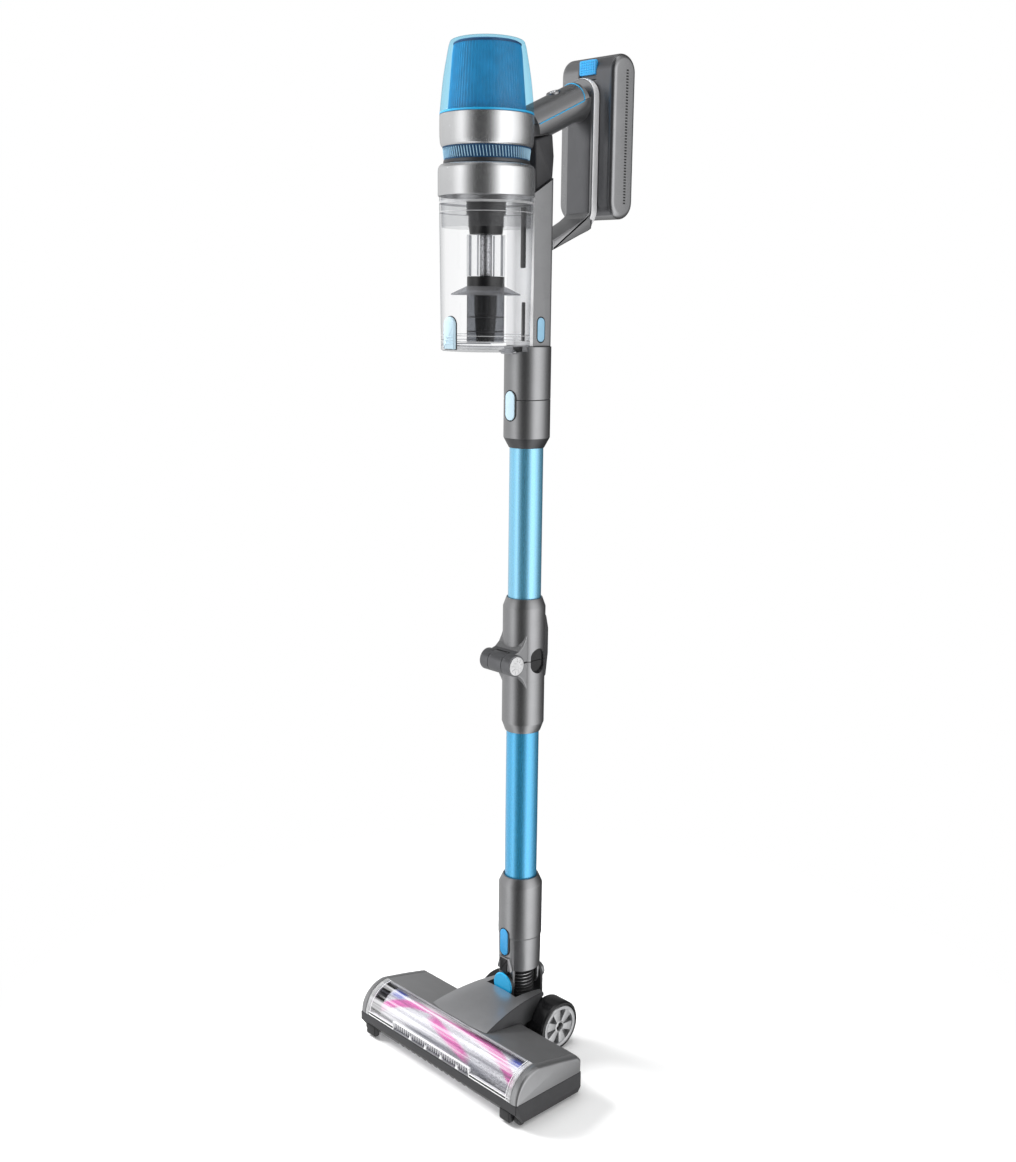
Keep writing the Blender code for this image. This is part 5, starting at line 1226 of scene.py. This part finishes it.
def build_battery():
    half, low, high, front, rear = 0.037, 0.899, 1.06, PLATE_REAR + GAP, 0.12
    side = stadium((rear - front) / 2, low, high, 28, (front + rear) / 2)
    sections = []
    turns = [math.pi / 2 * i / 12 for i in range(13)]
    levels = [(0.006 * (1 - math.sin(t)), -half + 0.006 * (1 - math.cos(t))) for t in turns]
    levels += [(0, -0.012)] + [(d, -x) for d, x in reversed(levels)]
    for d, x in levels:
        sections.append([(x, y, z) for y, z in (inset(side, d) if d > 1e-6 else side)])
    case = loft("case_shell", sections, GREY)
    cut(case, block("t1", (-0.0104, front - 0.01, 1.035), (0.0134, front + 0.003, 1.0554), GREY, 0, 0.002,
                    "Y"))
    # The battery's front face beside the dock plate takes deep painted shade.
    two_tone(case, GREY, DEEP_PAINTED_SHADE, lambda face: face.normal.y < -0.6 and face.center.x > -0.0115)
    parts = [case]
    middle = (front + rear) / 2 + 0.003
    for way in (-1, 1):
        for i in range(BATTERY_VENTS):
            z = 0.915 + (1.044 - 0.915) * i / (BATTERY_VENTS - 1)
            low_x, high_x = mirrored(way, (half - 0.0004), (half + 0.00004))
            parts.append(block("vent", (low_x, middle - 0.0017, z - 0.0008),
                               (high_x, middle + 0.0017, z + 0.0008), BLACK, 0))
    parts.append(block("contact", (-0.006, front - 0.0001, 0.93), (0.006, front + 0.0008, 0.936), BLACK,
                       0.0002))
    adopt(merged("battery_case_fine", parts), "battery_case")
    latch = block("latch_body", (-0.0098, front - 0.0008, 1.0405), (0.0128, front + 0.003, 1.055), BLUE,
                  0.0008, 0.0022, "Y")
    grips = []
    for i in range(5):
        for k in range(6):
            grips.append(block("grip", (-0.0078 + 0.0032 * k, front - 0.0012, 1.0426 + 0.0024 * i),
                               (-0.0058 + 0.0032 * k, front - 0.0006, 1.0438 + 0.0024 * i), CYAN, 0.0003))
    adopt(merged("battery_latch_fine", [latch] + grips), "battery_latch")


# ---------------------------------------------------------------- camera, lights and floor
def look_camera():
    azimuth, pitch, roll = math.radians(46.2773), math.radians(12.0139), math.radians(-0.6382)
    back = Vector((math.sin(azimuth), -math.cos(azimuth), 0))
    ahead = -back * math.cos(pitch) + Vector((0, 0, -math.sin(pitch)))
    right = ahead.cross(Vector((0, 0, 1))).normalized()
    down = ahead.cross(right)
    right, down = (right * math.cos(roll) + down * math.sin(roll),
                   down * math.cos(roll) - right * math.sin(roll))
    data = bpy.data.cameras.new("camera")
    data.sensor_fit, data.sensor_width, data.lens = "AUTO", 36.0, 41.44
    data.clip_start, data.clip_end = 0.05, 30.0
    item = bpy.data.objects.new("camera", data)
    bpy.context.scene.collection.objects.link(item)
    basis = Matrix((right, -down, -ahead)).transposed().to_4x4()
    item.matrix_world = Matrix.Translation((0.98496, -0.95972, 0.82055)) @ basis
    bpy.context.scene.camera = item


def studio():
    """White surround for the camera, and soft bright and dark panels for reflections."""
    world = bpy.data.worlds.new("studio")
    bpy.context.scene.world = world
    world.use_nodes = True
    tree = world.node_tree
    tree.nodes.clear()
    split = add(tree, "ShaderNodeSeparateXYZ", add(tree, "ShaderNodeTexCoord").outputs["Generated"])
    turn = add(tree, "ShaderNodeMath", split.outputs["Y"], split.outputs["X"], operation="ARCTAN2")
    share = add(tree, "ShaderNodeMath", turn, 1 / (2 * math.pi), 0.5 + CAMERA_FROM / 360,
                operation="MULTIPLY_ADD")
    wrap = add(tree, "ShaderNodeMath", share, operation="FRACT")
    # Each panel: its turn from the camera to the right, and its brightness.
    stops = [(-180, 0.35), (-155, 0.7), (-120, 0.8), (-88, 0.85), (-62, 1.6), (-42, 0.45), (-26, 0.03),
             (-6, 0.03), (8, 0.12), (24, 0.85), (36, 1.9), (58, 1.9), (82, 1.15), (105, 0.3), (135, 0.05),
             (165, 0.06), (180, 0.35)]
    panels = ramp(tree, wrap.outputs[0], [(a / 360 + 0.5, grey(v)) for a, v in stops])
    rise = ramp(tree, split.outputs["Z"], [(0.0, grey(0.9)), (0.28, WHITE_STOP), (0.52, grey(0.4)),
                                           (0.82, grey(0.4)), (1.0, WHITE_STOP)])
    gloss = add(tree, "ShaderNodeBackground", mixed(tree, 1.0, panels, rise, "MULTIPLY"), 1.0)
    soft = add(tree, "ShaderNodeBackground", (1, 1, 1, 1), 0.45)
    seen = add(tree, "ShaderNodeBackground", (1, 1, 1, 1), 1.0)
    ray = add(tree, "ShaderNodeLightPath").outputs
    lit = layered(tree, ray["Is Camera Ray"], layered(tree, ray["Is Glossy Ray"], soft, gloss), seen)
    add(tree, "ShaderNodeOutputWorld", lit)


def panel_light(name, spot, target, size, power):
    data = bpy.data.lights.new(name, "AREA")
    data.shape, data.size, data.size_y, data.energy = "RECTANGLE", *size, power
    item = bpy.data.objects.new(name, data)
    bpy.context.scene.collection.objects.link(item)
    item.location = spot
    item.rotation_mode = "QUATERNION"
    item.rotation_quaternion = (Vector(target) - Vector(spot)).to_track_quat("-Z", "Y")
    item.visible_glossy = False


def floor():
    """Plain pale floor that fades to the white surround away from the head."""
    bm = bmesh.new()
    bmesh.ops.create_grid(bm, x_segments=2, y_segments=2, size=6.0)
    mat, tree, out = nodes_of("pale_floor")
    place = add(tree, "ShaderNodeTexCoord").outputs["Object"]
    tone = ramp(tree, noise(tree, place, 3.0, 2.0), [(0.3, grey(0.9)), (0.7, grey(0.92))])
    lit = add(tree, "ShaderNodeAddShader", add(tree, "ShaderNodeBsdfDiffuse", tone),
              add(tree, "ShaderNodeEmission", tone, 0.12))
    away = add(tree, "ShaderNodeVectorMath", place, operation="LENGTH").outputs["Value"]
    far = ramp(tree, away, [(0.3, BLACK_STOP), (0.62, WHITE_STOP)], "EASE")
    join(tree, layered(tree, far, lit, add(tree, "ShaderNodeEmission", Strength=1.0)), out.inputs["Surface"])
    ground = add_mesh("floor", bm, mat, (0, 0, -0.0002))
    ground.visible_glossy = False


def rest_of_frame():
    """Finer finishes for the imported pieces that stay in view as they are."""
    finish = {"head_board": BOARD, "drive_belt": RUBBER, "cell_pack": BLUE}
    for node, mat in finish.items():
        painted(frame["nodes"][node], mat)


for build in (build_base, build_window, build_cover, build_hump, build_roller, build_wheels, build_neck,
              build_tubes, build_fold, build_coupling, build_spine, build_cup, build_cyclone, build_stack,
              build_handle, build_battery, rest_of_frame):
    build()
floor()
studio()
look_camera()
panel_light("key", (-1.7, -0.75, 1.6), (0, 0, 0.1), (0.8, 0.8), 62)
panel_light("fill", (2.4, -0.6, 1.8), (0, 0, 0.5), (1.4, 2.0), 8)
panel_light("top", (-0.2, 0.1, 2.4), (0, 0, 0.0), (1.2, 1.2), 26)
bpy.context.scene.view_settings.view_transform = "Standard"
bpy.context.scene.view_settings.look = "None"
